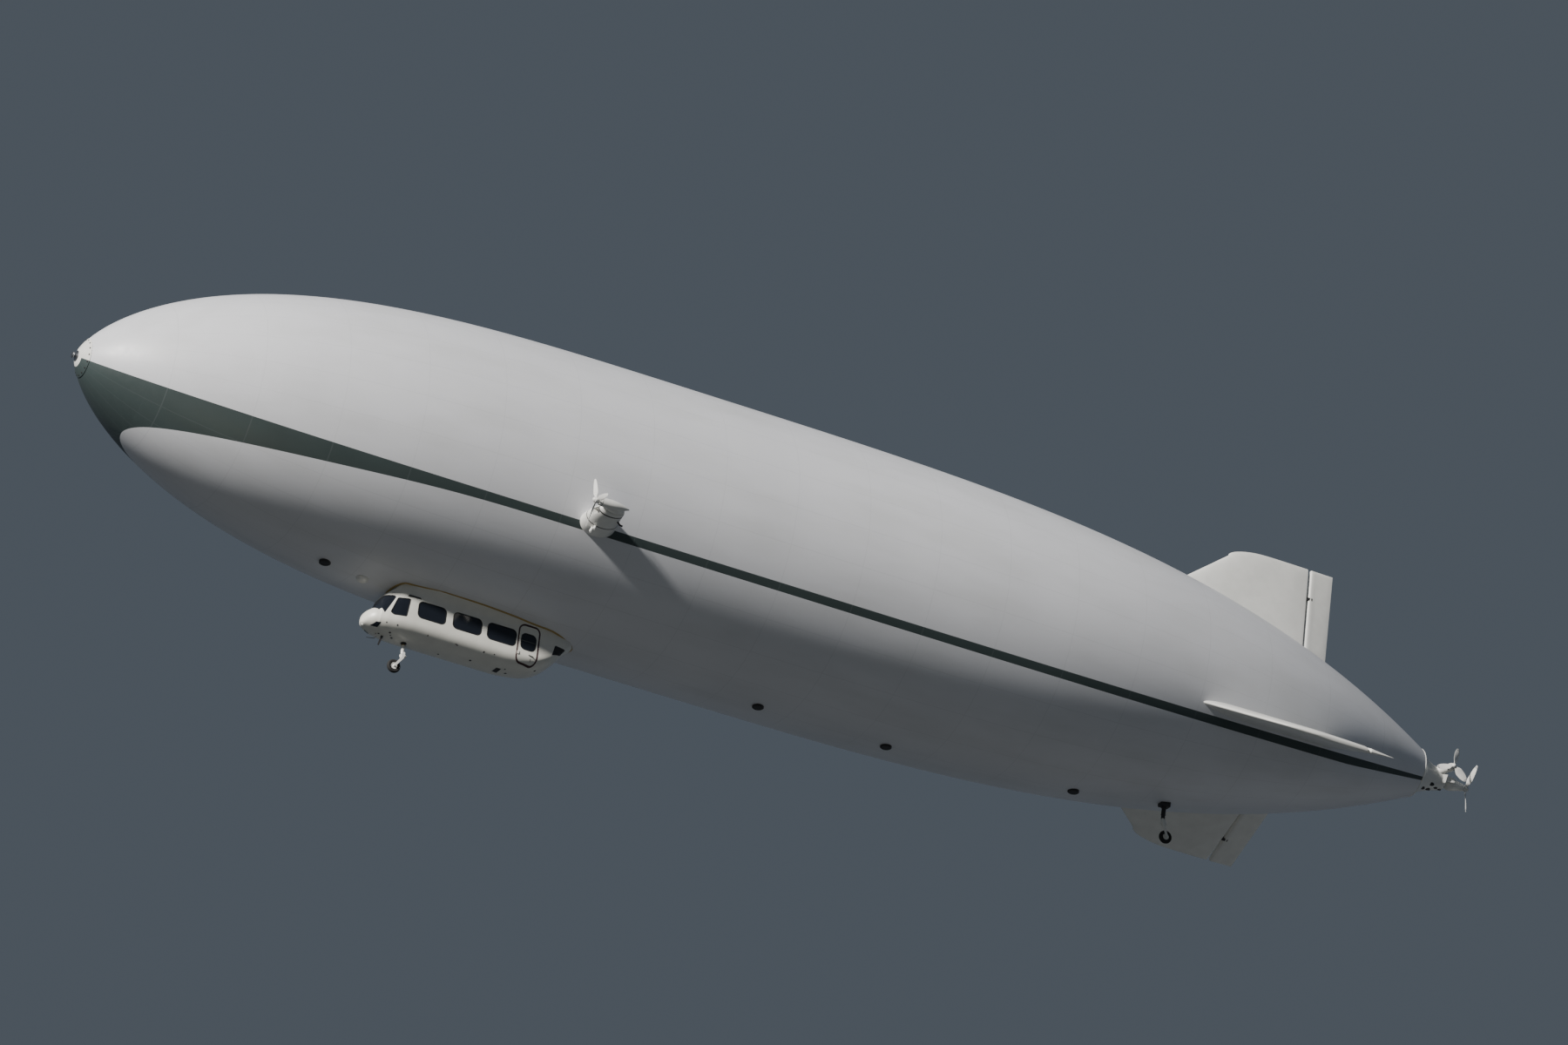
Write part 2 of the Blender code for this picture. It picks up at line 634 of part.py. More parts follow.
def wheel(name, centre, radius, paint):
    half = WHEEL_WIDTH / 2
    tread = [(-half * 0.55, radius * 0.60), (-half, radius * 0.70), (-half * 0.9, radius * 0.90),
             (-half * 0.5, radius), (half * 0.5, radius), (half * 0.9, radius * 0.90),
             (half, radius * 0.70), (half * 0.55, radius * 0.60)]
    place = (centre[0], 0, centre[1])
    rings = [turned_ring(a, r, WHEEL_SIDES, place) for a, r in tread]
    make_object(name + "_tyre", loft(rings, closed=True), paint["tyre"])
    face = half * RIM_SHARE
    rim = [(-face, 0.03), (-face, radius * 0.3), (-half * 0.5, radius * 0.60 - GAP * 2),
           (half * 0.5, radius * 0.60 - GAP * 2), (face, radius * 0.3), (face, 0.03)]
    make_object(name + "_rim", turned(rim, WHEEL_SIDES, place, (0, 1, 0)), paint["white"])


def turned_ring(along, radius, sides, centre):
    angles = [2 * math.pi * (i + 0.5) / sides for i in range(sides)]
    return [Vector(centre) + Vector((radius * math.cos(a), along, radius * math.sin(a))) for a in angles]


def make_front_gear(paint):
    profile = [(0, 0.10), (0.022, 0.10), (0.026, 0.055), (FRONT_LEG_LENGTH, 0.055)]
    make_object("front_gear_leg", turned(profile, 16, (FRONT_PIVOT_X, 0, GONDOLA_BOTTOM - GAP), (0, 0, -1)),
                paint["dark"])
    top = GONDOLA_BOTTOM - FRONT_LEG_LENGTH - 2 * GAP
    make_fork("front_gear_fork", FRONT_PIVOT_X, top, FRONT_WHEEL, paint)
    wheel("front_wheel", FRONT_WHEEL, FRONT_WHEEL_RADIUS, paint)


def make_fork(name, pivot_x, top, wheel_centre, paint):
    # A castering post, a knuckle under it and one arm on the port side of the wheel
    post = turned([(0, FORK_POST_RADIUS), (FORK_POST, FORK_POST_RADIUS)], 12, (pivot_x, 0, top), (0, 0, -1))
    fork = make_object(name, post, paint["white"])
    knee = Vector((pivot_x, 0, top - FORK_POST + 0.02))
    half = WHEEL_WIDTH / 2
    axle = Vector((wheel_centre[0], 0, wheel_centre[1]))
    near, far = -(half + 0.039), -(half + 0.011)
    bridge = box((pivot_x - 0.03, near, knee.z - 0.035), (pivot_x + 0.03, 0.03, knee.z + 0.01))
    direction = axle - knee
    across = Vector((-direction.z, 0, direction.x)).normalized() * 0.026
    start = knee + Vector((0, near, 0))
    end = axle + Vector((0, near, 0))
    arm = prism([start - across, start + across, end + across, end - across], (0, far - near, 0))
    pin = turned([(0, 0.022), (-near - half * RIM_SHARE - GAP, 0.022)], 12,
                 (axle.x, near, axle.z), (0, 1, 0))
    for label, mesh in (("bridge", bridge), ("arm", arm), ("pin", pin)):
        add_boolean(fork, make_cutter(name + "_" + label, mesh), "UNION")


def make_aft_gear(paint, hull_cutter):
    # A bracket on the hull with a fixed strut down to the castering fork
    skin = -hull_radius(AFT_PIVOT_X + NOSE_TO_ORIGIN)
    foot = skin - AFT_BRACKET_DROP
    bracket = box((AFT_PIVOT_X - 0.13, -0.10, foot), (AFT_PIVOT_X + 0.13, 0.10, skin + 0.15))
    leg = make_object("aft_gear_leg", bracket, paint["dark"])
    add_boolean(leg, hull_cutter, "DIFFERENCE")
    strut = turned([(-0.02, 0.05), (AFT_LEG_LENGTH, 0.05)], 16, (AFT_PIVOT_X, 0, foot), (0, 0, -1))
    add_boolean(leg, make_cutter("aft_strut", strut), "UNION")
    make_fork("aft_gear_fork", AFT_PIVOT_X, foot - AFT_LEG_LENGTH - GAP, AFT_WHEEL, paint)
    wheel("aft_wheel", AFT_WHEEL, AFT_WHEEL_RADIUS, paint)


def blade_mesh(radius, chord, turn_degrees):
    # A twisted blade along +X whose propeller turns about +Z
    stations = ((0.04, 0.35, 60, 0.9), (0.16, 0.5, 50, 0.5), (0.35, 1.0, 36, 0.22), (0.65, 0.95, 24, 0.13),
                (0.9, 0.62, 18, 0.11), (1.0, 0.28, 16, 0.12))
    rings = []
    for along, wide, pitch, thick in stations:
        half = chord * wide / 2
        tall = half * thick
        section = ((-half, 0), (-half * 0.4, tall), (half * 0.5, tall * 0.8), (half, 0),
                   (half * 0.5, -tall * 0.6), (-half * 0.4, -tall))
        angle = math.radians(pitch)
        ring = []
        for u, v in section:
            ring.append(Vector((along * radius, u * math.cos(angle) - v * math.sin(angle),
                                u * math.sin(angle) + v * math.cos(angle))))
        rings.append(ring)
    mesh = loft(rings)
    bmesh.ops.rotate(mesh, verts=mesh.verts, cent=(0, 0, 0),
                     matrix=Matrix.Rotation(math.radians(turn_degrees), 3, "Z"))
    return mesh


def make_propeller(name, centre, axis, radius, chord, first_blade, hub_back, paint):
    # The local +Z is the shaft axis and points out of the spinner
    turn = Vector((0, 0, 1)).rotation_difference(Vector(axis)).to_matrix().to_4x4()
    place = Matrix.Translation(Vector(centre)) @ turn
    size = radius * 0.1
    profile = [(-hub_back, size * 0.8), (-size * 0.6, size), (size * 0.5, size), (size, size * 0.75),
               (size * 1.3, size * 0.35), (size * 1.4, size * 0.08)]
    hub = make_object(name, turned(profile, 12, (0, 0, 0), (0, 0, 1)), paint["blade"])
    hub.matrix_world = place
    for i in range(3):
        blade = make_cutter(f"{name}_blade_{i}", blade_mesh(radius, chord, first_blade + 120 * i))
        blade.matrix_world = place
        add_boolean(hub, blade, "UNION")


# Half sizes of the engine pod across X and Z, from its root inside the hull to its end
POD_ROOT = 2.55
POD_STATIONS = ((POD_ROOT, 0.40, 0.26), (2.95, 0.445, 0.275), (3.20, 0.44, 0.28), (3.45, 0.42, 0.275),
                (3.70, 0.40, 0.265), (3.88, 0.36, 0.255), (3.96, 0.32, 0.24), (POD_END, 0.28, 0.21))

# Distance ahead of the swivel axis and radius of the head's fairing, from its pointed tail
HEAD_PROFILE = ((-0.29, 0.015), (-0.15, 0.06), (0, 0.095), (0.15, 0.11), (0.30, 0.11), (0.42, 0.105),
                (HEAD_REACH, 0.09))


def pod_ring(y, half_x, half_z):
    angles = [2 * math.pi * i / POD_SIDES for i in range(POD_SIDES)]
    return [Vector((SWIVEL_X + half_x * math.cos(a), y, SWIVEL_Z + half_z * math.sin(a))) for a in angles]


def make_side_engine(label, side, paint, hull_cutter):
    outer = [pod_ring(side * y, x, z) for y, x, z in POD_STATIONS]
    inner = [pod_ring(side * y, x - POD_WALL, z - POD_WALL) for y, x, z in POD_STATIONS[:-2]]
    cowl = make_object("engine_cowl_" + label, loft(inner[::-1] + outer), paint["white"])
    add_boolean(cowl, hull_cutter, "DIFFERENCE")

    pylon = turned([(0, PYLON_RADIUS), (ENGINE_START - POD_ROOT - GAP, PYLON_RADIUS)], 16,
                   (SWIVEL_X, side * POD_ROOT, SWIVEL_Z), (0, side, 0))
    thing = make_object("engine_pylon_" + label, pylon, paint["white"])
    add_boolean(thing, hull_cutter, "DIFFERENCE")
    width, depth, height = ENGINE_SIZE
    near, far = sorted((side * ENGINE_START, side * (ENGINE_START + depth)))
    block = box((SWIVEL_X - width / 2, near, SWIVEL_Z - height / 2),
                (SWIVEL_X + width / 2, far, SWIVEL_Z + height / 2))
    make_object("engine_block_" + label, block, paint["steel"])

    # The swivel head: a fairing that points forward, and a drum towards the pod with a collar
    # that turns against the pod's end
    middle = (SWIVEL_X, side * HEAD_Y, SWIVEL_Z)
    head = make_object("swivel_head_" + label, turned(HEAD_PROFILE, HEAD_SIDES, middle, (-1, 0, 0)),
                       paint["white"])
    reach = HEAD_Y - POD_END
    drum = turned([(0, 0.07), (0.07, 0.10), (0.11, 0.19), (0.135, DRUM_RADIUS * 0.94),
                   (0.155, DRUM_RADIUS), (reach - DRUM_CLEARANCE, DRUM_RADIUS)], 24, middle, (0, -side, 0))
    collar = turned([(0.05, COLLAR_RADIUS * 0.5), (0.13, COLLAR_RADIUS), (reach - GAP, COLLAR_RADIUS)], 20,
                    middle, (0, -side, 0))
    add_boolean(head, make_cutter("swivel_drum_" + label, drum), "UNION")
    add_boolean(head, make_cutter("swivel_collar_" + label, collar), "UNION")
    make_propeller("propeller_" + label, (SWIVEL_X - PROPELLER_REACH, side * HEAD_Y, SWIVEL_Z), (-1, 0, 0),
                   PROPELLER_RADIUS, PROPELLER_CHORD, SIDE_FIRST_BLADE, PROPELLER_REACH - HEAD_REACH - GAP,
                   paint)


def tube(points, sides):
    # Round sections along a path of (centre, radius) pairs, each square to the path
    centres = [Vector(centre) for centre, radius in points]
    rings = []
    for i, (centre, radius) in enumerate(points):
        along = centres[min(i + 1, len(points) - 1)] - centres[max(i - 1, 0)]
        across = along.cross(Vector((0, 0, 1))).normalized()
        lift = across.cross(along).normalized()
        angles = [2 * math.pi * j / sides for j in range(sides)]
        rings.append([centres[i] + radius * (across * math.cos(a) + lift * math.sin(a)) for a in angles])
    return loft(rings)


def make_stern(paint):
    rim = hull_radius(ENVELOPE_END)
    start = station_x(ENVELOPE_END) + GAP
    frame = [(0, rim), (STERN_FRAME, rim * 0.97), (STERN_FRAME, STERN_FRAME_HOLE), (0, STERN_FRAME_HOLE)]
    rings = [circle(start + along, radius, 24) for along, radius in frame]
    make_object("stern_ring", loft(rings, closed=True), paint["white"])

    base = start + STERN_FRAME + GAP
    tip = station_x(STERN_TIP_STATION)
    shares = ((0.0, rim * 0.95), (0.10, 0.50), (0.3, 0.415), (0.6, 0.32), (1.0, 0.235))
    profile = [(base + (tip - base) * share, radius) for share, radius in shares]
    outer = [circle(x, r, 24) for x, r in profile]
    inner = [circle(x, r - STERN_WALL, 24) for x, r in profile[:-1]]
    inner.append(circle(tip - STERN_WALL, profile[-1][1] - STERN_WALL, 24))
    cowl = make_object("stern_cowl", loft(inner[::-1] + outer), paint["white"])
    pivot_x = station_x(PUSHER_PIVOT_STATION)
    for side in (-1, 1):
        low, high = sorted((side * YOKE_INSIDE, side * (YOKE_INSIDE + YOKE_THICKNESS)))
        ear = box((tip - 0.04, low, -0.06), (pivot_x + 0.05, high, 0.06))
        add_boolean(cowl, make_cutter(f"yoke_ear_{side}", ear), "UNION")
    length, width, height = STERN_ENGINE
    make_object("stern_engine_block", box((base, -width / 2, -height / 2),
                                          (base + length, width / 2, height / 2)), paint["steel"])
    form = make_cutter("stern_cowl_form", loft([circle(x, r + GAP, 24) for x, r in profile]))
    make_lateral_drive(paint, form)
    make_pusher(paint, pivot_x)


def make_lateral_drive(paint, cowl_form):
    # A gearbox arm that slants out of the cowl to the small sideways propeller
    hub_x = station_x(LATERAL_STATION)
    end = LATERAL_Y + LATERAL_HUB_DEPTH
    path = [((hub_x - 0.28, -0.13, LATERAL_Z - 0.13), 0.12),
            ((hub_x - 0.18, -0.22, LATERAL_Z - 0.07), 0.115),
            ((hub_x - 0.06, -0.33, LATERAL_Z - 0.015), 0.105),
            ((hub_x, end + 0.07, LATERAL_Z), 0.10), ((hub_x, end, LATERAL_Z), 0.085)]
    gearbox = make_object("lateral_gearbox", tube(path, 16), paint["white"])
    add_boolean(gearbox, cowl_form, "DIFFERENCE")
    make_propeller("lateral_propeller", (hub_x, LATERAL_Y, LATERAL_Z), (0, -1, 0), LATERAL_RADIUS,
                   LATERAL_CHORD, LATERAL_FIRST_BLADE, LATERAL_HUB_DEPTH - GAP, paint)


def make_pusher(paint, pivot_x):
    profile = [(-0.15, 0.06), (-0.12, 0.12), (-0.05, 0.165), (0.04, 0.17), (0.14, 0.15), (0.26, 0.11),
               (PUSHER_SPINDLE - 0.03, 0.09), (PUSHER_SPINDLE, 0.075)]
    head = make_object("pusher_head", turned(profile, 20, (pivot_x, 0, 0), (1, 0, 0)), paint["white"])
    reach = YOKE_INSIDE - GAP
    pins = turned([(0, 0.03), (2 * reach, 0.03)], 12, (pivot_x, -reach, 0), (0, 1, 0))
    add_boolean(head, make_cutter("pusher_pins", pins), "UNION")
    plane = station_x(PUSHER_PLANE_STATION)
    make_propeller("pusher_propeller", (plane, 0, 0), (1, 0, 0), PROPELLER_RADIUS, PROPELLER_CHORD,
                   PUSHER_FIRST_BLADE, plane - pivot_x - PUSHER_SPINDLE - GAP, paint)


# Station and lean to starboard of the gas valves under the hull, and of the dome ahead of them
VALVE_PLACES = ((6.78, -0.023), (18.10, -0.027), (21.57, 0.011), (26.60, 0.017))
DOME_PLACE = (7.77, -0.015)


def on_belly(name, place, profile, material, hull_cutter):
    # A turned piece that stands out of the hull's underside
    station, lean = place
    axis = Vector((0, math.sin(lean), -math.cos(lean)))
    centre = Vector((station_x(station), 0, 0)) + axis * (hull_radius(station) - BELLY_SINK)
    thing = make_object(name, turned(profile, 20, centre, axis), material)
    add_boolean(thing, hull_cutter, "DIFFERENCE")


def make_belly_fittings(paint, hull_cutter):
    valve = [(0, 0.14), (0.135, 0.14), (0.15, 0.12)]
    for i, place in enumerate(VALVE_PLACES):
        on_belly(f"gas_valve_{i + 1}", place, valve, paint["dark"], hull_cutter)
    dome = [(0, 0.15), (0.13, 0.145), (0.165, 0.12), (0.19, 0.08), (0.20, 0.03)]
    on_belly("belly_dome", DOME_PLACE, dome, paint["white"], hull_cutter)


def build():
    remove_all()
    paint = {
        "hull": make_material("hull_fabric", (0.74, 0.75, 0.78), 0.5),
        "white": make_material("white_laminate", (0.82, 0.82, 0.80), 0.35),
        "gondola": make_material("gondola_paint", (0.80, 0.79, 0.74), 0.35),
        "glass": make_material("tinted_glass", (0.03, 0.04, 0.06), 0.08, alpha=0.6),
        "dark": make_material("dark_coat", (0.05, 0.05, 0.06), 0.5),
        "steel": make_material("bare_steel", (0.5, 0.5, 0.52), 0.35, metallic=0.9),
        "seat": make_material("seat_cloth", (0.10, 0.12, 0.18), 0.9),
        "tyre": make_material("tyre_rubber", (0.02, 0.02, 0.02), 0.85),
        "blade": make_material("blade_paint", (0.80, 0.80, 0.79), 0.3)}
    make_envelope(paint)
    hull_cutter = make_hull_cutter()
    make_nose(paint)
    make_empennage(paint, hull_cutter)
    make_gondola(paint, hull_cutter)
    make_glazing(paint, hull_cutter)
    make_door(paint)
    make_seats(paint)
    make_front_gear(paint)
    make_aft_gear(paint, hull_cutter)
    for label, side in (("port", -1), ("starboard", 1)):
        make_side_engine(label, side, paint, hull_cutter)
    make_stern(paint)
    make_belly_fittings(paint, hull_cutter)


build()
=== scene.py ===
# Looks of the half-scale airship. Nose towards -X, port side towards -Y, metres.
# A station is a distance aft of the hull's nose tip, and a turn is an angle from the top.
import json
import math

import bmesh
import bpy
from mathutils import Matrix, Vector


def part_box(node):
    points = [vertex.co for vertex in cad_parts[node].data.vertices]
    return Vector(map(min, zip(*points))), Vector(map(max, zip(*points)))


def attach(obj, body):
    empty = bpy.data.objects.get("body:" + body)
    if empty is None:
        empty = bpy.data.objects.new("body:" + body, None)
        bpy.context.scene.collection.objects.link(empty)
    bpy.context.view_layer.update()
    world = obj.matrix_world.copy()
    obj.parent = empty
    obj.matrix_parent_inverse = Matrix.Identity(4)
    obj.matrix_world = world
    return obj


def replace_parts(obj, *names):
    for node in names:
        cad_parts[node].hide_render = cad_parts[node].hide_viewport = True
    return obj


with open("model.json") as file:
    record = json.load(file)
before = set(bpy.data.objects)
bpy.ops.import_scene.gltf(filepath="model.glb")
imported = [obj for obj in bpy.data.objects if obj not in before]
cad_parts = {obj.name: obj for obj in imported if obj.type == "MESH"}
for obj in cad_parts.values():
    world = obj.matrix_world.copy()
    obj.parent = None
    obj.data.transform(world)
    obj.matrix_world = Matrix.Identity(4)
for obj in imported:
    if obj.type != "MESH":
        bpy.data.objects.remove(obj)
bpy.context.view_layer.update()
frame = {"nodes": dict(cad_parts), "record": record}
nodes = frame["nodes"]

ship = {
    "noseToOrigin": 17.0,
    "radius": 3.56,
    "bowLength": 15.05,
    "sternLength": 21.77,
    "bowPowers": (3.475, 0.680),
    "sternPowers": (3.4975, 1.008),
    "hullEnd": 35.65,
}


def stationX(station):
    return station - ship["noseToOrigin"]


def hullRadius(station):
    if station < ship["bowLength"]:
        ahead = (ship["bowLength"] - station) / ship["bowLength"]
        power, root = ship["bowPowers"]
    else:
        ahead = (station - ship["bowLength"]) / ship["sternLength"]
        power, root = ship["sternPowers"]
    return ship["radius"] * max(0.0, 1 - ahead ** power) ** root


def hullPoint(station, turn, lift=0.0):
    # turn runs from the top down the port side
    step = 0.002
    slope = math.atan2(hullRadius(station + step) - hullRadius(station - step), 2 * step)
    radius = hullRadius(station) + lift * math.cos(slope)
    x = stationX(station) - lift * math.sin(slope)
    return Vector((x, -radius * math.sin(turn), radius * math.cos(turn)))


# tools


def clearSelection():
    if bpy.context.object and bpy.context.object.mode != "OBJECT":
        bpy.ops.object.mode_set(mode="OBJECT")
    bpy.ops.object.select_all(action="DESELECT")


def pick(piece):
    clearSelection()
    piece.select_set(True)
    bpy.context.view_layer.objects.active = piece


def editMesh(piece):
    pick(piece)
    bpy.ops.object.mode_set(mode="EDIT")
    return bmesh.from_edit_mesh(piece.data)


def selectedRing(mesh, before):
    # The new point that hangs on each point of the ring before it
    mesh.verts.ensure_lookup_table()
    ring = []
    for index in before:
        vert = mesh.verts[index]
        ring.append(next(e.other_vert(vert) for e in vert.link_edges if e.other_vert(vert).select))
    return ring


def loft(name, sections):
    # A filled circle is set to the first section, then extruded and set to each next one
    clearSelection()
    bpy.ops.mesh.primitive_circle_add(vertices=len(sections[0]), fill_type="NGON")
    piece = bpy.context.object
    piece.name = name
    mesh = editMesh(piece)
    mesh.verts.ensure_lookup_table()
    for vert, point in zip(mesh.verts, sections[0]):
        vert.co = point
    bpy.ops.mesh.select_all(action="SELECT")
    indices = list(range(len(sections[0])))
    for section in sections[1:]:
        bpy.ops.mesh.extrude_region()
        mesh = bmesh.from_edit_mesh(piece.data)
        mesh.verts.index_update()
        ring = selectedRing(mesh, indices)
        for vert, point in zip(ring, section):
            vert.co = point
        indices = [vert.index for vert in ring]
        bmesh.update_edit_mesh(piece.data)
    bpy.ops.mesh.select_all(action="SELECT")
    bpy.ops.mesh.normals_make_consistent(inside=False)
    bpy.ops.object.mode_set(mode="OBJECT")
    return piece


def spun(name, profile, steps, centre=(0, 0, 0), axis=(1, 0, 0)):
    # A chain of (along, radius) points is drawn from one point, then spun about the axis
    clearSelection()
    bpy.ops.mesh.primitive_plane_add(size=0.01)
    piece = bpy.context.object
    piece.name = name
    mesh = editMesh(piece)
    bpy.ops.mesh.select_all(action="SELECT")
    bpy.ops.mesh.merge(type="CENTER")
    mesh = bmesh.from_edit_mesh(piece.data)
    for vert in mesh.verts:
        vert.co = (profile[0][0], 0, profile[0][1])
        vert.select_set(True)
    bmesh.update_edit_mesh(piece.data)
    for along, radius in profile[1:]:
        bpy.ops.mesh.extrude_region()
        mesh = bmesh.from_edit_mesh(piece.data)
        for vert in mesh.verts:
            if vert.select:
                vert.co = (along, 0, radius)
        bmesh.update_edit_mesh(piece.data)
    bpy.ops.mesh.select_all(action="SELECT")
    bpy.ops.mesh.spin(steps=steps, angle=2 * math.pi, center=(0, 0, 0), axis=(1, 0, 0), use_auto_merge=True)
    bpy.ops.mesh.select_all(action="SELECT")
    bpy.ops.mesh.remove_doubles(threshold=0.00005)
    bpy.ops.mesh.normals_make_consistent(inside=False)
    bpy.ops.object.mode_set(mode="OBJECT")
    turn = Vector((1, 0, 0)).rotation_difference(Vector(axis)).to_matrix().to_4x4()
    piece.data.transform(Matrix.Translation(Vector(centre)) @ turn)
    return piece


def finish(piece, body, slot, *materials, sharp=35):
    pick(piece)
    bpy.ops.object.transform_apply(location=True, rotation=True, scale=True)
    bpy.ops.object.shade_smooth_by_angle(angle=math.radians(sharp))
    for material in materials:
        piece.data.materials.append(material)
    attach(piece, body)
    return piece


def painted(piece, *names):
    for name in names:
        piece.data.materials.append(finishes[name])
    return piece


def between(rows, at):
    # Values on a smooth curve through rows of (place, value, value, ...), with no overshoot
    index = 0
    while index < len(rows) - 2 and rows[index + 1][0] <= at:
        index += 1
    first, last = rows[index], rows[index + 1]
    span = last[0] - first[0]
    share = (at - first[0]) / span
    values = []
    for column in range(1, len(first)):
        slopes = []
        for k in (index - 1, index, index + 1):
            k = min(max(k, 0), len(rows) - 2)
            slopes.append((rows[k + 1][column] - rows[k][column]) / (rows[k + 1][0] - rows[k][0]))
        ends = []
        for a, b in zip(slopes, slopes[1:]):
            ends.append(2 * a * b / (a + b) if a * b > 0 else 0)
        rise = last[column] - first[column]
        bend = (ends[0] * span - rise) * (1 - share) - (ends[1] * span - rise) * share
        values.append(first[column] + rise * share + bend * share * (1 - share))
    return values


def steps(start, end, count):
    return [start + (end - start) * i / count for i in range(count + 1)]


def rod(name, points, radius, sides=12):
    # A round bar along a path; the radius may be one value or one for each point
    points = [Vector(point) for point in points]
    radii = radius if isinstance(radius, (list, tuple)) else [radius] * len(points)
    rings = []
    side = None
    for i, point in enumerate(points):
        along = (points[min(i + 1, len(points) - 1)] - points[max(i - 1, 0)]).normalized()
        if side is None:
            side = along.orthogonal().normalized()
        side = (side - along * side.dot(along)).normalized()
        across = along.cross(side)
        turns = steps(0, 2 * math.pi, sides)[:-1]
        rings.append([point + radii[i] * (side * math.cos(a) + across * math.sin(a)) for a in turns])
    return loft(name, rings)


def block(name, low, high, edge=0.004):
    clearSelection()
    bpy.ops.mesh.primitive_cube_add(size=1)
    piece = bpy.context.object
    piece.name = name
    editMesh(piece)
    bpy.ops.mesh.select_all(action="SELECT")
    bpy.ops.transform.resize(value=[b - a for a, b in zip(low, high)])
    bpy.ops.transform.translate(value=[(a + b) / 2 for a, b in zip(low, high)])
    bpy.ops.mesh.bevel(offset=edge, segments=2, affect="EDGES")
    bpy.ops.object.mode_set(mode="OBJECT")
    return piece


def prism(name, outline, depth):
    # outline is a row of points, depth the vector that it is drawn along
    points = [Vector(point) for point in outline]
    return loft(name, [points, [point + Vector(depth) for point in points]])


def cut(piece, tool, operation="DIFFERENCE", keep=False):
    change = piece.modifiers.new("cut", "BOOLEAN")
    change.operation = operation
    change.solver = "EXACT"
    change.object = tool
    pick(piece)
    bpy.ops.object.modifier_apply(modifier="cut")
    if not keep:
        bpy.data.objects.remove(tool, do_unlink=True)
    return piece


def joined(name, pieces):
    clearSelection()
    for piece in pieces:
        piece.select_set(True)
    bpy.context.view_layer.objects.active = pieces[0]
    bpy.ops.object.join()
    pieces[0].name = name
    return pieces[0]


def copied(piece, name, change):
    twin = piece.copy()
    twin.data = piece.data.copy()
    twin.name = name
    bpy.context.scene.collection.objects.link(twin)
    twin.data.transform(change)
    if change.determinant() < 0:
        twin.data.flip_normals()
    return twin


def roundedRectangle(low, high, radius, y=0.0, corner=6):
    # In the plane of X and Z, from the upper right corner round
    (left, bottom), (right, top) = low, high
    centres = ((right - radius, top - radius), (left + radius, top - radius),
               (left + radius, bottom + radius), (right - radius, bottom + radius))
    outline = []
    for quarter, (x, z) in enumerate(centres):
        for i in range(corner + 1):
            turn = math.pi / 2 * (quarter + i / corner)
            outline.append((x + radius * math.cos(turn), y, z + radius * math.sin(turn)))
    return outline


mirrorY = Matrix.Scale(-1, 4, (0, 1, 0))


# materials

print("materials")


class Nodes:
    # A short way to add and link shader nodes
    def __init__(self, name, roughness, metallic=0.0):
        self.material = bpy.data.materials.new(name)
        self.material.use_nodes = True
        self.tree = self.material.node_tree
        self.shader = self.tree.nodes["Principled BSDF"]
        self.shader.inputs["Roughness"].default_value = roughness
        self.shader.inputs["Metallic"].default_value = metallic
        self.place = self.add("ShaderNodeTexCoord").outputs["Object"]

    def add(self, kind, **values):
        node = self.tree.nodes.new(kind)
        for key, value in values.items():
            setattr(node, key, value)
        return node

    def link(self, output, target):
        self.tree.links.new(output, target)
        return target

    def noise(self, scale, detail=3.0, stretch=None):
        node = self.add("ShaderNodeTexNoise")
        node.inputs["Scale"].default_value = scale
        node.inputs["Detail"].default_value = detail
        place = self.place
        if stretch:
            mapping = self.add("ShaderNodeMapping")
            mapping.inputs["Scale"].default_value = stretch
            self.link(place, mapping.inputs["Vector"])
            place = mapping.outputs["Vector"]
        self.link(place, node.inputs["Vector"])
        return node.outputs["Fac"]

    def ramp(self, value, *stops):
        node = self.add("ShaderNodeValToRGB")
        steps = node.color_ramp.elements
        while len(steps) < len(stops):
            steps.new(0.5)
        for step, (position, color) in zip(steps, stops):
            step.position = position
            step.color = (*color, 1.0) if len(color) == 3 else color
        self.link(value, node.inputs["Fac"])
        return node.outputs["Color"]

    def math(self, operation, first, second=0.0):
        node = self.add("ShaderNodeMath", operation=operation)
        for socket, value in zip(node.inputs, (first, second)):
            if isinstance(value, (int, float)):
                socket.default_value = value
            else:
                self.link(value, socket)
        return node.outputs[0]

    def mix(self, share, first, second, blend="MIX"):
        node = self.add("ShaderNodeMix", data_type="RGBA", blend_type=blend)
        for socket, value in ((node.inputs[0], share), (node.inputs[6], first), (node.inputs[7], second)):
            if isinstance(value, (int, float)):
                socket.default_value = value
            elif isinstance(value, tuple):
                socket.default_value = (*value, 1.0)
            else:
                self.link(value, socket)
        return node.outputs[2]

    def color(self, output):
        self.link(output, self.shader.inputs["Base Color"])

    def rough(self, value, low, high):
        node = self.add("ShaderNodeMapRange")
        node.inputs["To Min"].default_value = low
        node.inputs["To Max"].default_value = high
        self.link(value, node.inputs["Value"])
        self.link(node.outputs["Result"], self.shader.inputs["Roughness"])

    def bump(self, height, strength, distance):
        node = self.add("ShaderNodeBump")
        node.inputs["Strength"].default_value = strength
        node.inputs["Distance"].default_value = distance
        self.link(height, node.inputs["Height"])
        self.link(node.outputs["Normal"], self.shader.inputs["Normal"])


def tones(color, spread):
    return [tuple(min(1.0, part * share) for part in color) for share in (1 - spread, 1 + spread)]


def seamLines(made, spacing, width):
    # 1 on thin rings round the hull and on lines along it, 0 between
    parts = made.add("ShaderNodeSeparateXYZ")
    made.link(made.place, parts.inputs[0])
    x, y, z = parts.outputs
    ring = made.math("PINGPONG", x, spacing / 2)
    around = made.math("ARCTAN2", y, z)
    gore = made.math("PINGPONG", around, math.pi / 24)
    ringLine = made.math("LESS_THAN", ring, width)
    goreLine = made.math("LESS_THAN", gore, width / ship["radius"])
    return made.math("MAXIMUM", ringLine, goreLine)


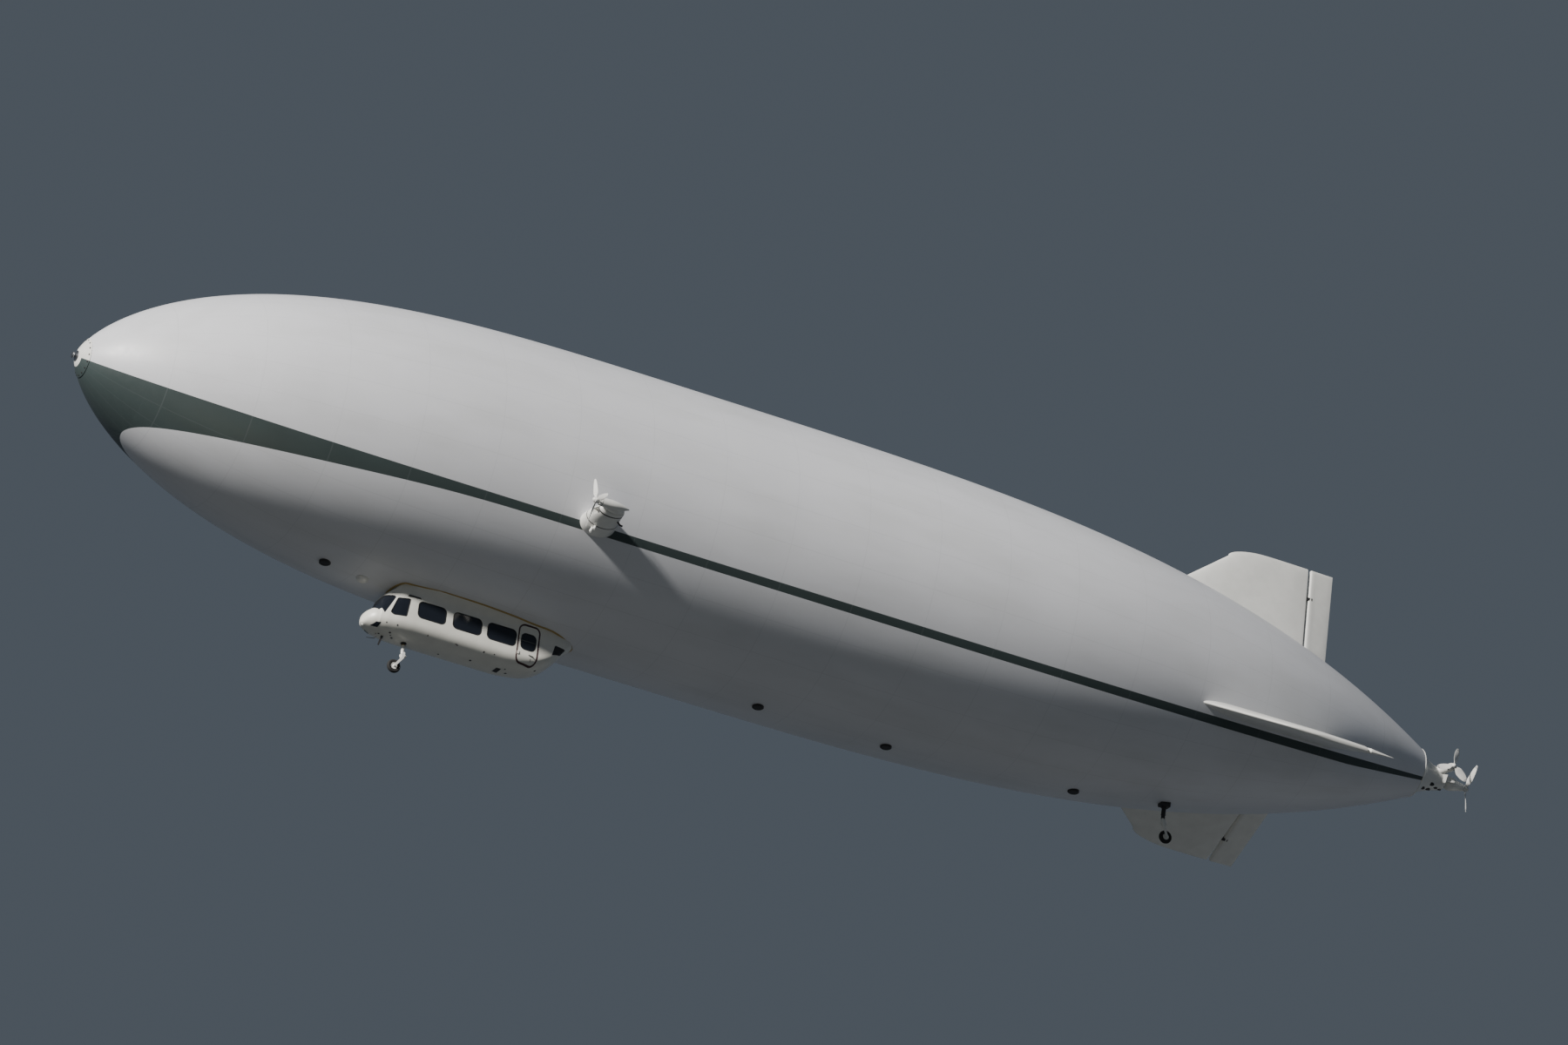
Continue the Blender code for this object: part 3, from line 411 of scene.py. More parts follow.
def hullCloth(name, color, spread):
    made = Nodes(name, 0.42)
    dark, light = tones(color, spread)
    cloud = made.ramp(made.noise(0.35, 4.0), (0.35, dark), (0.68, light))
    grime = made.ramp(made.noise(1.6, 6.0, (0.25, 1, 1)), (0.45, (1, 1, 1)), (0.75, (0.93, 0.93, 0.92)))
    shade = made.mix(1.0, cloud, grime, "MULTIPLY")
    seams = seamLines(made, 1.9, 0.012)
    made.color(made.mix(made.math("MULTIPLY", seams, 0.10), shade, (0.30, 0.31, 0.33)))
    made.rough(made.noise(5.0), 0.34, 0.52)
    made.bump(made.noise(240.0, 2.0), 0.08, 0.002)
    return made.material


def coat(name, color, roughness=0.35, spread=0.04, grain=30.0, metallic=0.0, bump=0.05):
    made = Nodes(name, roughness, metallic)
    dark, light = tones(color, spread)
    made.color(made.ramp(made.noise(grain * 0.12, 5.0), (0.32, dark), (0.7, light)))
    made.rough(made.noise(grain * 0.5), roughness * 0.8, roughness * 1.25)
    made.bump(made.noise(grain * 8, 2.0), bump, 0.001)
    return made.material


finishes = {
    "cloth": hullCloth("hullCloth", (0.74, 0.75, 0.79), 0.03),
    "stripe": hullCloth("stripeCloth", (0.055, 0.075, 0.075), 0.08),
    "white": coat("whiteLaminate", (0.80, 0.80, 0.77)),
    "gondola": coat("gondolaPaint", (0.80, 0.79, 0.73)),
    "glass": coat("tintedGlass", (0.012, 0.015, 0.022), 0.06, bump=0.0),
    "dark": coat("darkCoat", (0.03, 0.03, 0.032), 0.55),
    "steel": coat("bareSteel", (0.45, 0.46, 0.48), 0.32, metallic=1.0),
    "seat": coat("seatCloth", (0.06, 0.08, 0.14), 0.9, grain=60.0, bump=0.2),
    "rubber": coat("tyreRubber", (0.02, 0.02, 0.02), 0.8, grain=80.0, bump=0.2),
    "blade": coat("bladePaint", (0.78, 0.78, 0.76), 0.3),
    "seal": coat("doorSeal", (0.055, 0.018, 0.022), 0.6),
    "ochre": coat("seamTape", (0.42, 0.30, 0.10), 0.6),
    "gray": coat("grayStripe", (0.12, 0.13, 0.14), 0.4),
}

slotFinish = {
    "hull_fabric": "cloth", "white_laminate": "white", "gondola_paint": "gondola",
    "tinted_glass": "glass", "dark_coat": "dark", "steel": "steel", "seat_cloth": "seat",
    "tyre": "rubber", "blade_paint": "blade",
}
for row in frame["record"]["subparts"]:
    node = nodes[row["node"]]
    node.data.materials.clear()
    node.data.materials.append(finishes[slotFinish[row["material_slot"]]])

# hull

print("hull")

hull = {
    "steps": 144,
    "stripeTop": math.radians(120.0),
    "stripeWidth": 0.205,
    "wedgeEnd": 1.41,
    "stripeColumns": 0.25,
    "wall": 0.010,
    "start": 0.08,
}


def wedgeTurn(station):
    # Width of the dark band below the stripe's top, as an angle
    radius = max(hullRadius(station), 0.05)
    taper = min(1.0, max(0.45, 1 - (station - 33.2) / 2.45 * 0.55))
    band = hull["stripeWidth"] * taper / radius
    behind = station - hull["wedgeEnd"]
    if behind <= 0:
        return math.radians(15.0 + 44.0 * (station / hull["wedgeEnd"]) ** 2)
    swell = math.exp(-behind ** 0.56 - (behind / 7.04) ** 4.5)
    return min(math.radians(59.0), max(band, math.radians(3.3) + math.radians(56.7) * swell))


def hullStations():
    stations = [hull["start"]]
    while stations[-1] < hull["wedgeEnd"] - 0.12:
        stations.append(stations[-1] + min(0.09, 0.02 + 0.10 * (stations[-1] - hull["start"])))
    stations += [hull["wedgeEnd"] + d for d in (0.0, 0.006, 0.02, 0.045, 0.08, 0.13, 0.19, 0.27, 0.37, 0.5)]
    while stations[-1] < ship["hullEnd"] - 0.4:
        stations.append(stations[-1] + min(0.55, 0.13 + 0.07 * (stations[-1] - 1.9),
                                           0.14 + 0.08 * (ship["hullEnd"] - stations[-1])))
    return stations + [ship["hullEnd"]]


def dressHull(piece):
    # Slides the points below the stripe's top round the hull, so that edges follow the band
    mesh = editMesh(piece)
    for vert in mesh.verts:
        turn = math.atan2(-vert.co.y, vert.co.z)
        share = (abs(turn) - hull["stripeTop"]) / (math.pi - hull["stripeTop"])
        if share <= 0.0001:
            continue
        station = vert.co.x + ship["noseToOrigin"]
        band = wedgeTurn(station)
        rest = math.pi - hull["stripeTop"] - band
        columns = hull["stripeColumns"]
        if share <= columns:
            turned = hull["stripeTop"] + band * share / columns
        else:
            turned = hull["stripeTop"] + band + rest * (share - columns) / (1 - columns)
        radius = math.hypot(vert.co.y, vert.co.z)
        side = 1 if turn > 0 else -1
        vert.co.y = -side * radius * math.sin(turned)
        vert.co.z = radius * math.cos(turned)
    for face in mesh.faces:
        middle = face.calc_center_median()
        turn = abs(math.atan2(-middle.y, middle.z))
        station = middle.x + ship["noseToOrigin"]
        low = math.pi if station < hull["wedgeEnd"] else hull["stripeTop"] + wedgeTurn(station)
        if hull["stripeTop"] < turn < low:
            face.material_index = 1
    bmesh.update_edit_mesh(piece.data)
    bpy.ops.object.mode_set(mode="OBJECT")


outline = [(stationX(s), hullRadius(s)) for s in hullStations()]
envelope = spun("envelopeSkin", outline, hull["steps"])
dressHull(envelope)
wall = envelope.modifiers.new("wall", "SOLIDIFY")
wall.thickness = hull["wall"]
wall.offset = -1
pick(envelope)
bpy.ops.object.modifier_apply(modifier="wall")
finish(envelope, "root", "hull_fabric", finishes["cloth"], finishes["stripe"])
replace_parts(envelope, "envelope")

# A solid of the hull's own form, which trims what stands on the skin
hullForm = spun("hullForm", [(stationX(0.0), 0.0)] + outline + [(stationX(ship["hullEnd"]), 0.0)], 96)

# nose

print("nose")

nose = {"flat": 0.16, "flatStation": 0.03, "end": 0.22, "wall": 0.012, "gap": 0.0003, "lugs": 16}


def makeNoseCap():
    stations = steps(0.05, nose["end"], 10)
    lift = nose["wall"] + nose["gap"]
    outer = [hullPoint(station, 0, lift) for station in stations]
    inner = [hullPoint(station, 0, nose["gap"]) for station in stations[::-1]]
    front = stationX(nose["flatStation"])
    rim = outer[-1]
    profile = [(front, 0.0), (front, nose["flat"] * 0.92)] + [(point.x, point.z) for point in outer]
    profile += [(rim.x + 0.003, rim.z - 0.002), (rim.x + 0.004, rim.z - 0.007)]
    profile += [(point.x, point.z) for point in inner] + [(front + nose["wall"], 0.0)]
    cap = spun("noseCap", profile, 96)
    for face in cap.data.polygons:
        turn = abs(math.atan2(-face.center.y, face.center.z))
        if turn > hull["stripeTop"] and face.center.x > stationX(0.07):
            face.material_index = 1
    finish(cap, "root", "white_laminate", finishes["white"], finishes["stripe"])
    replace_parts(cap, "nose_cap")

    lug = block("noseLug", (-0.016, -0.018, -0.004), (0.016, 0.018, 0.009), 0.003)
    lugs = []
    for i in range(nose["lugs"]):
        turn = 2 * math.pi * (i + 0.5) / nose["lugs"]
        place = hullPoint(nose["end"] - 0.03, 0, lift)
        lean = math.atan2(place.z - hullPoint(nose["end"] - 0.07, 0, lift).z, 0.04)
        stand = Matrix.Translation(place) @ Matrix.Rotation(-lean, 4, "Y")
        lugs.append(copied(lug, f"noseLug{i}", Matrix.Rotation(turn, 4, "X") @ stand))
    bpy.data.objects.remove(lug, do_unlink=True)
    finish(joined("noseLugs", lugs), "root", "dark_coat", finishes["dark"])


def makeMooring():
    low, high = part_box("nose_mooring")
    reach = high[0] - low[0]
    radius = high[2]
    profile = [(0.0, 0.0), (0.0, 0.50), (0.03, 0.56), (0.08, 0.61), (0.20, 0.61), (0.30, 0.58),
               (0.37, 0.53), (0.41, 0.42), (0.44, 0.38), (0.68, 0.40), (0.71, 0.44), (0.75, 0.74),
               (0.83, 0.92), (0.86, 0.99), (0.97, 1.0), (1.0, 0.98), (1.0, 0.0)]
    probe = spun("mooringProbe", [(low[0] + reach * u, radius * v) for u, v in profile], 48)
    finish(probe, "root", "steel", finishes["steel"])
    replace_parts(probe, "nose_mooring")


makeNoseCap()
makeMooring()

# fins

print("fins")

fin = {
    "rootStation": 27.155, "rootRadius": 1.80, "shoulderStation": 30.09, "shoulderRadius": 4.17,
    "tipStation": 30.95, "tipRadius": 4.46, "rear": 32.27, "hinge": 32.40, "end": 32.98,
    "rootThickness": 0.34, "tipThickness": 0.19, "foot": 0.07, "droop": math.radians(25.0),
}


def finHalf(radius):
    share = (radius - fin["rootRadius"]) / (fin["tipRadius"] - fin["rootRadius"])
    return (fin["rootThickness"] + (fin["tipThickness"] - fin["rootThickness"]) * share) / 2


def finRing(radius, lead, bulk):
    half = finHalf(radius) * bulk
    chord = fin["rear"] - lead
    side = []
    for u in (0, 0.004, 0.012, 0.028, 0.055, 0.1, 0.16, 0.25, 0.38, 0.55, 0.75, 0.985, 1.0):
        if u < 0.38:
            share = math.sin(math.pi / 2 * (u / 0.38) ** 0.55)
        else:
            share = 1 - 0.2 * ((u - 0.38) / 0.62) ** 1.5
        if u == 1.0:
            share -= 0.06
        side.append((stationX(lead + chord * u), half * max(share, 0.02)))
    return [(x, y, radius) for x, y in side] + [(x, -y, radius) for x, y in side[::-1]]


def makeFin():
    rings = []
    sweep = fin["shoulderStation"] - fin["rootStation"]
    corner = fin["tipStation"] - fin["shoulderStation"]
    for radius in steps(fin["rootRadius"], fin["shoulderRadius"], 10):
        share = (radius - fin["rootRadius"]) / (fin["shoulderRadius"] - fin["rootRadius"])
        rings.append(finRing(radius, fin["rootStation"] + sweep * share, 1))
    for turn in steps(0, math.pi / 2, 12)[1:]:
        rise = fin["shoulderRadius"] + (fin["tipRadius"] - fin["shoulderRadius"]) * math.sin(turn)
        lead = fin["tipStation"] - corner * max(0, math.cos(turn)) ** 1.4
        rings.append(finRing(rise, lead, max(0.10, max(0, math.cos(turn)) ** 0.5)))
    return loft("fin", rings)


def makeRudder():
    foot = hullRadius(fin["rear"]) + fin["foot"]
    tip = fin["tipRadius"]
    levels = [(foot, 0.88), (foot + 0.012, 1.0)]
    levels += [(radius, 1.0) for radius in steps(foot, tip - 0.12, 6)[1:]]
    for turn in steps(0, 1.5, 6)[1:]:
        levels.append((tip - 0.12 + 0.12 * math.sin(turn), max(0.12, math.cos(turn) ** 0.6)))
    chord = fin["end"] - fin["hinge"]
    rings = []
    for radius, bulk in levels:
        half = finHalf(radius) * 0.66 * bulk
        side = [(-half * math.cos(a), half * math.sin(a)) for a in steps(0, math.pi / 2, 6)]
        for u in (0.12, 0.3, 0.5, 0.75, 0.97):
            side.append((chord * u, half * (1 - u) ** 0.9 * 0.95 + 0.004 * u))
        side += [(chord, 0.003)]
        ring = [(stationX(fin["hinge"]) + x, y, radius) for x, y in side]
        rings.append(ring + [(x, -y, z) for x, y, z in ring[:0:-1]])
    return loft("rudder", rings)


def hullTurn(angle):
    return Matrix.Rotation(angle, 4, "X")


def dressFins():
    baseFin = makeFin()
    baseRudder = makeRudder()
    tab = block("tab", (stationX(fin["rear"]) - 0.02, -0.075, 3.62),
                (stationX(fin["hinge"]) + 0.05, 0.075, 3.70), 0.01)
    low = math.pi / 2 + fin["droop"]
    for side, angle in (("top", 0.0), ("starboard", -low), ("port", low)):
        turn = hullTurn(angle)
        piece = copied(baseFin, f"finSkin_{side}", turn)
        piece.data.materials.append(finishes["white"])
        cut(piece, hullForm, keep=True)
        finish(piece, "root", "white_laminate")
        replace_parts(piece, f"fin_{side}")
        body = ("rudder_" if side == "top" else "elevator_") + side
        flap = finish(copied(baseRudder, f"{body}_skin", turn), body, "white_laminate", finishes["white"])
        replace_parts(flap, body)
        finish(copied(tab, f"hingeTab_{side}", turn), "root", "dark_coat", finishes["dark"])
    for piece in (baseFin, baseRudder, tab):
        bpy.data.objects.remove(piece, do_unlink=True)


dressFins()

# gondola

print("gondola")

gondola = {
    "reach": (0.35, 0.8), "wall": 0.03, "paneInset": 0.006, "paneThickness": 0.006, "frameProud": 0.004,
    "frameDepth": 0.010, "sealProud": 0.0025, "sealDepth": 0.012, "markProud": 0.002, "markDepth": 0.004,
    "windowLow": -4.165, "windowHigh": -3.74, "corner": 0.12,
    "windows": ((-7.95, -7.23), (-7.05, -6.31), (-6.165, -5.42)), "rearWindow": (-5.28, -4.90),
    "door": (-5.35, -4.85), "doorLow": -4.465, "doorHigh": -3.56, "doorGap": 0.007,
    "doorGlass": (-5.295, -4.905), "hingeHeights": (-4.31, -3.89), "hingeLength": 0.08,
    "roundPower": 2.78, "bellyPower": 2.2, "flareFrom": -3.66, "flareRise": 0.22, "deck": -4.52,
    "seatX": -7.80, "seatY": 0.30, "seatSpacing": 0.43, "seats": {"port": 5, "starboard": 6},
    "pilotX": -8.36, "pilotY": 0.245, "seamRadius": 0.036, "seamDepth": 0.020,
}
# x, half width, bottom, widest line, top, squareness of the top, flare against the hull
gondolaRows = (
    (-9.115, 0.045, -4.435, -4.38, -4.325, 0, 0), (-9.105, 0.08, -4.45, -4.372, -4.29, 0, 0),
    (-9.07, 0.19, -4.48, -4.355, -4.20, 0, 0), (-8.99, 0.30, -4.515, -4.335, -4.12, 0, 0),
    (-8.90, 0.38, -4.548, -4.32, -4.07, 0, 0), (-8.85, 0.41, -4.562, -4.314, -4.08, 0, 0),
    (-8.805, 0.437, -4.577, -4.308, -4.112, 0, 0), (-8.795, 0.443, -4.58, -4.306, -3.95, 0.03, 0),
    (-8.78, 0.448, -4.582, -4.305, -3.86, 0.05, 0), (-8.735, 0.463, -4.59, -4.303, -3.72, 0.12, 0),
    (-8.63, 0.495, -4.607, -4.30, -3.60, 0.28, 0), (-8.50, 0.52, -4.62, -4.297, -3.50, 0.4, 0),
    (-8.40, 0.538, -4.628, -4.295, -3.38, 0.55, 0), (-8.28, 0.550, -4.635, -4.293, -3.18, 0.75, 0),
    (-8.01, 0.5625, -4.642, -4.29, -3.12, 1, 0.03), (-7.40, 0.5625, -4.640, -4.288, -3.12, 1, 0.14),
    (-6.43, 0.5625, -4.640, -4.288, -3.12, 1, 0.18), (-5.60, 0.5625, -4.637, -4.287, -3.12, 1, 0.14),
    (-5.20, 0.5625, -4.600, -4.267, -3.12, 1, 0.09), (-4.80, 0.56, -4.512, -4.21, -3.12, 1, 0.05),
    (-4.55, 0.54, -4.39, -4.11, -3.12, 1, 0.03), (-4.25, 0.48, -4.10, -3.88, -3.12, 1, -0.01),
    (-3.98, 0.38, -3.74, -3.63, -3.12, 1, -0.06), (-3.84, 0.20, -3.62, -3.56, -3.12, 1, -0.05))
# The seam's path round the tail: x and the distance from the middle
tailSeam = ((-4.90, 0.625), (-4.72, 0.615), (-4.54, 0.59), (-4.40, 0.545), (-4.25, 0.47), (-4.10, 0.385),
            (-3.97, 0.295), (-3.87, 0.20), (-3.81, 0.10), (-3.795, 0.0))


def gondolaRing(x, inset=0.0):
    half, bottom, widest, top, square, flare = between(gondolaRows, x)
    half -= inset
    bottom += inset
    top += inset * (2 * square - 1 + square) if square > 0.5 else -inset
    side = []
    upper = 2 / gondola["roundPower"]
    lower = 2 / gondola["bellyPower"]
    for turn in steps(0, math.pi / 2, 22):
        rounded = (math.sin(turn) ** upper, max(0, math.cos(turn)) ** upper)
        share = turn / (math.pi / 2)
        boxed = (min(1, 4 * share), min(1, (1 - share) * 4 / 3))
        across, rise = (a + (b - a) * square for a, b in zip(rounded, boxed))
        z = widest + (top - widest) * rise
        swell = max(0, (z - gondola["flareFrom"]) / gondola["flareRise"]) ** 2
        side.append((half * across + flare * min(1.5, swell) * min(1, across ** 4), z))
    for turn in steps(0, math.pi / 2, 12)[1:]:
        across = max(0, math.cos(turn)) ** lower
        side.append((half * across, widest + (bottom - widest) * math.sin(turn) ** lower))
    ring = side + [(-y, z) for y, z in side[-2:0:-1]]
    return [(x, y, z) for y, z in ring]


def gondolaForm(name, inset=0.0):
    places = [-9.115, -9.11] + steps(-9.105, -8.9, 8) + steps(-8.9, -8.805, 4)[1:]
    places += [-8.8, -8.795, -8.79, -8.785] + steps(-8.78, -8.70, 8)
    places += steps(-8.70, -8.01, 14)[1:] + steps(-8.01, -4.80, 20)[1:]
    places += steps(-4.80, -3.98, 10)[1:] + steps(-3.98, -3.84, 4)[1:]
    nose, tail = places[0], places[-1]
    moved = []
    for x in places:
        ahead = max(0, 1 - (x - nose) / 0.6)
        behind = max(0, 1 - (tail - x) / 0.5)
        moved.append((x, x + inset * (ahead - behind)))
    rings = []
    for x, shown in moved:
        ring = gondolaRing(x, inset)
        rings.append([(shown, y, z) for _, y, z in ring])
    return loft(name, rings)


screenOutline = ((-8.86, 0, -3.74), (-8.86, 0, -4.0), (-8.80, 0, -4.13), (-8.725, 0, -4.25),
                 (-8.49, 0, -3.775), (-8.52, 0, -3.74))
cockpitOutline = ((-8.455, 0, -3.788), (-8.155, 0, -3.758), (-8.205, 0, -4.222), (-8.515, 0, -4.255),
                  (-8.60, 0, -4.20))


def softened(outline, radius, corner=5):
    # Each corner of an outline in the plane of X and Z becomes a short curve
    points = [Vector(point) for point in outline]
    soft = []
    for i, point in enumerate(points):
        before = (points[i - 1] - point).normalized() * radius
        after = (points[(i + 1) % len(points)] - point).normalized() * radius
        for share in steps(0, 1, corner):
            soft.append(point + before * (1 - share) ** 2 + after * share ** 2)
    return soft


def grown(outline, by):
    # The outline moved outwards by a distance, or inwards where it is negative
    points = [Vector(point) for point in outline]
    middle = sum(points, Vector()) / len(points)
    moved = []
    for i, point in enumerate(points):
        along = points[(i + 1) % len(points)] - points[i - 1]
        out = Vector((along.z, 0, -along.x)).normalized()
        if out.dot(point - middle) < 0:
            out.negate()
        moved.append(point + out * by)
    return moved


def through(name, outline, start, end):
    moved = [(x, start, z) for x, y, z in outline]
    return prism(name, moved, (0, end - start, 0))


def windowOutlines(side):
    low, high = gondola["windowLow"], gondola["windowHigh"]
    spans = list(gondola["windows"]) + ([gondola["rearWindow"]] if side > 0 else [])
    outlines = [roundedRectangle((a, low), (b, high), gondola["corner"]) for a, b in spans]
    return outlines + [softened(cockpitOutline, 0.035)]


def bands(name, outlines, start, end, outside, inside):
    # Frames along the outlines, which run through one side of the gondola
    made = []
    spare = 0.1 * (end - start)
    for i, outline in enumerate(outlines):
        band = through(f"{name}{i}", grown(outline, outside), start, end)
        cut(band, through("hole", grown(outline, -inside), start - spare, end + spare))
        made.append(band)
    return joined(name, made)


def thinSkin(name, outer, inner):
    # A closed skin along the gondola's form between two insets
    return cut(gondolaForm(name, outer), gondolaForm("within", inner))


def formCut(name, inset, thickness, outline, start, end, grow=0.0):
    # The part of a thin skin along the gondola's form that lies inside an outline
    skin = thinSkin(name, inset, inset + thickness)
    return cut(skin, through("edge", grown(outline, grow), start, end), "INTERSECT")


def sideSpan(side):
    # Where a tool through one side of the gondola starts and ends
    return [side * reach for reach in gondola["reach"]]


def doorOutline(gap):
    return roundedRectangle((gondola["door"][0] + gap, gondola["doorLow"] + gap),
                            (gondola["door"][1] - gap, gondola["doorHigh"] - gap), gondola["corner"] - gap)


def makeShell():
    shell = gondolaForm("gondolaShell")
    shell.data.materials.append(finishes["gondola"])
    cut(shell, hullForm, keep=True)
    cut(shell, gondolaForm("room", gondola["wall"]))
    for side in (-1, 1):
        outlines = windowOutlines(side) + ([doorOutline(0)] if side < 0 else [])
        tools = [through(f"opening{i}", row, *sideSpan(side)) for i, row in enumerate(outlines)]
        cut(shell, joined("openings", tools))
    cut(shell, through("screen", screenOutline, -0.7, 0.7))
    finish(shell, "root", "gondola_paint", sharp=40)
    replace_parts(shell, "gondola_nose", "gondola_floor", "gondola_side_port", "gondola_side_starboard",
                "gondola_tail")


def makeFrames():
    # Frames round the openings, cut from a thin skin just proud of the shell
    for side, label in ((-1, "Port"), (1, "Starboard")):
        skin = thinSkin("windowFrames" + label, -gondola["frameProud"], gondola["frameDepth"])
        cut(skin, bands("bands", windowOutlines(side), *sideSpan(side), 0.004, 0.012), "INTERSECT")
        finish(skin, "root", "dark_coat", finishes["rubber"])
    seal = thinSkin("doorSeal", -gondola["sealProud"], gondola["sealDepth"])
    cut(seal, bands("bands", [doorOutline(0)], *sideSpan(-1), 0.030, 0.001), "INTERSECT")
    finish(seal, "root", "dark_coat", finishes["seal"])


def makePanes():
    pane = thinSkin("paneSkin", gondola["paneInset"], gondola["paneInset"] + gondola["paneThickness"])
    pane.data.materials.append(finishes["glass"])
    jobs = [("windshieldPane", [screenOutline], (-0.7, 0.7), "windshield")]
    for side, label in ((-1, "port"), (1, "starboard")):
        outlines = windowOutlines(side)
        span = sideSpan(side)
        jobs.append(("cabinPanes" + label.title(), outlines[:-1], span, "cabin_glazing_" + label))
        jobs.append(("cockpitPane" + label.title(), outlines[-1:], span, "cockpit_window_" + label))
    for name, outlines, span, node in jobs:
        piece = copied(pane, name, Matrix.Identity(4))
        tools = [through(f"edge{i}", grown(row, -0.001), *span) for i, row in enumerate(outlines)]
        cut(piece, joined("edges", tools), "INTERSECT")
        finish(piece, "root", "tinted_glass")
        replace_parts(piece, node)
    bpy.data.objects.remove(pane, do_unlink=True)


def makeDoor():
    # The leaf follows the gondola's side, and turns on two barrels outside its front edge
    gap = gondola["doorGap"]
    window = roundedRectangle((gondola["doorGlass"][0], gondola["windowLow"]),
                              (gondola["doorGlass"][1], gondola["windowHigh"]), 0.125)
    port = sideSpan(-1)
    leaf = formCut("doorLeaf", 0.0, gondola["wall"], doorOutline(gap), *port)
    painted(leaf, "gondola")
    cut(leaf, through("hole", window, *port))
    edge = gondola["door"][0] + gap
    out = -between(gondolaRows, gondola["door"][0])[0] - 0.010
    barrels = []
    for i, low in enumerate(gondola["hingeHeights"]):
        high = low + gondola["hingeLength"]
        profile = [(0, 0), (0, 0.0085), (0.003, 0.0097), (high - low - 0.003, 0.0097),
                   (high - low, 0.0085), (high - low, 0)]
        barrels.append(spun(f"barrel{i}", profile, 24, (edge, out, low), (0, 0, 1)))
        barrels.append(block(f"plate{i}", (edge, out - 0.004, low + 0.004),
                             (edge + 0.044, out + 0.016, high - 0.004), 0.002))
    finish(leaf, "cabin_door", "gondola_paint")
    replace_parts(leaf, "cabin_door")
    finish(joined("doorHinges", barrels), "cabin_door", "gondola_paint", finishes["gondola"])
    glass = formCut("doorPane", gondola["paneInset"], gondola["paneThickness"], window, *port, -0.001)
    finish(glass, "cabin_door", "tinted_glass", finishes["glass"])
    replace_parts(glass, "door_glass")
    trim = thinSkin("doorWindowFrame", -gondola["frameProud"], gondola["frameDepth"])
    cut(trim, bands("bands", [window], *port, 0.002, 0.012), "INTERSECT")
    finish(trim, "cabin_door", "dark_coat", finishes["rubber"])
    bar = block("doorWindowBar", (gondola["doorGlass"][0] + 0.010, -0.564, -3.945),
                (gondola["doorGlass"][1] - 0.010, -0.553, -3.931), 0.003)
    finish(bar, "cabin_door", "gondola_paint", finishes["gray"])
    handle = rod("doorHandle", [(-5.055, -0.562, -4.268), (-5.050, -0.574, -4.270),
                                (-4.940, -0.574, -4.288), (-4.935, -0.562, -4.290)], 0.008, 12)
    latch = rod("doorLatch", [(-4.995, -0.559, -4.345), (-4.995, -0.548, -4.385),
                              (-4.995, -0.533, -4.42)], 0.010, 12)
    finish(joined("doorFittings", [handle, latch]), "cabin_door", "dark_coat", finishes["dark"])


def makeSeat(name, x, y):
    # A cushion on a foot, with a leaning back behind it
    base = gondola["deck"]
    side = [(0.155, 0.12), (0.215, 0.12), (0.245, 0.20), (0.283, 0.42), (0.285, 0.50), (0.27, 0.525),
            (0.245, 0.525), (0.232, 0.50), (0.205, 0.33), (0.18, 0.21), (0.165, 0.17)]
    back = prism(name + "Back", [(x + u, y - 0.10, base + v) for u, v in side], (0, 0.20, 0))
    cushion = block(name + "Cushion", (x - 0.03, y - 0.105, base + 0.13),
                    (x + 0.20, y + 0.105, base + 0.205), 0.022)
    foot = block(name + "Foot", (x + 0.03, y - 0.07, base + 0.001),
                 (x + 0.16, y + 0.07, base + 0.135), 0.006)
    arm = block(name + "Arm", (x + 0.01, y - 0.108, base + 0.27),
                (x + 0.22, y - 0.090, base + 0.29), 0.006)
    return [back, cushion, foot, arm, copied(arm, name + "ArmTwo", Matrix.Translation((0, 0.198, 0)))]


def makeInterior():
    room = gondolaForm("cabinRoom", gondola["wall"] + 0.001)
    deck = block("cabinDeck", (-8.55, -1, gondola["deck"] - 0.02), (-5.0, 1, gondola["deck"]), 0.002)
    cut(deck, room, "INTERSECT")
    finish(deck, "root", "dark_coat", finishes["dark"])
    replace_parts(deck, "cabin_deck")
    for label, side in (("port", -1), ("starboard", 1)):
        seats = []
        for i in range(gondola["seats"][label]):
            x = gondola["seatX"] + gondola["seatSpacing"] * i
            seats += makeSeat(f"seat{i}", x, side * gondola["seatY"])
        row = finish(joined("seatRow" + label.title(), seats), "root", "seat_cloth", finishes["seat"])
        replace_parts(row, "seats_" + label)
    pilots = makeSeat("pilotPort", gondola["pilotX"], -gondola["pilotY"])
    pilots += makeSeat("pilotStarboard", gondola["pilotX"], gondola["pilotY"])
    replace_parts(finish(joined("pilotSeats", pilots), "root", "seat_cloth", finishes["seat"]), "pilot_seats")
    panel = [(-8.54, -4.518), (-8.47, -4.518), (-8.475, -4.33), (-8.54, -4.14), (-8.57, -4.115),
             (-8.63, -4.11), (-8.645, -4.13), (-8.645, -4.28), (-8.56, -4.34)]
    panel = prism("instrumentPanel", [(x, -0.25, z) for x, z in panel], (0, 0.5, 0))
    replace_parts(finish(panel, "root", "dark_coat", finishes["dark"]), "instrument_panel")


def seamPlace(x, y):
    # A point just inside the hull's skin, on its underside
    station = x + ship["noseToOrigin"]
    return hullPoint(station, math.pi - math.asin(y / hullRadius(station)), -gondola["seamDepth"])


def seamPoint(x, share):
    # A point of the line where the gondola's wall meets the hull
    half = between(gondolaRows, x)[0] + between(gondolaRows, x)[5]
    return seamPlace(x, half * share)


def makeSeam():
    path = [seamPoint(-8.50 + 0.22 * (1 - math.cos(a)), math.sin(a)) for a in steps(0, math.pi / 2, 8)]
    path += [seamPoint(x, 1) for x in steps(-8.28, -5.1, 22)[1:]]
    path += [seamPlace(x, y) for x, y in tailSeam]
    port = rod("hullSeamPort", path, gondola["seamRadius"], 12)
    starboard = copied(port, "hullSeamStarboard", mirrorY)
    finish(joined("hullSeam", [port, starboard]), "root", "hull_fabric", finishes["ochre"])


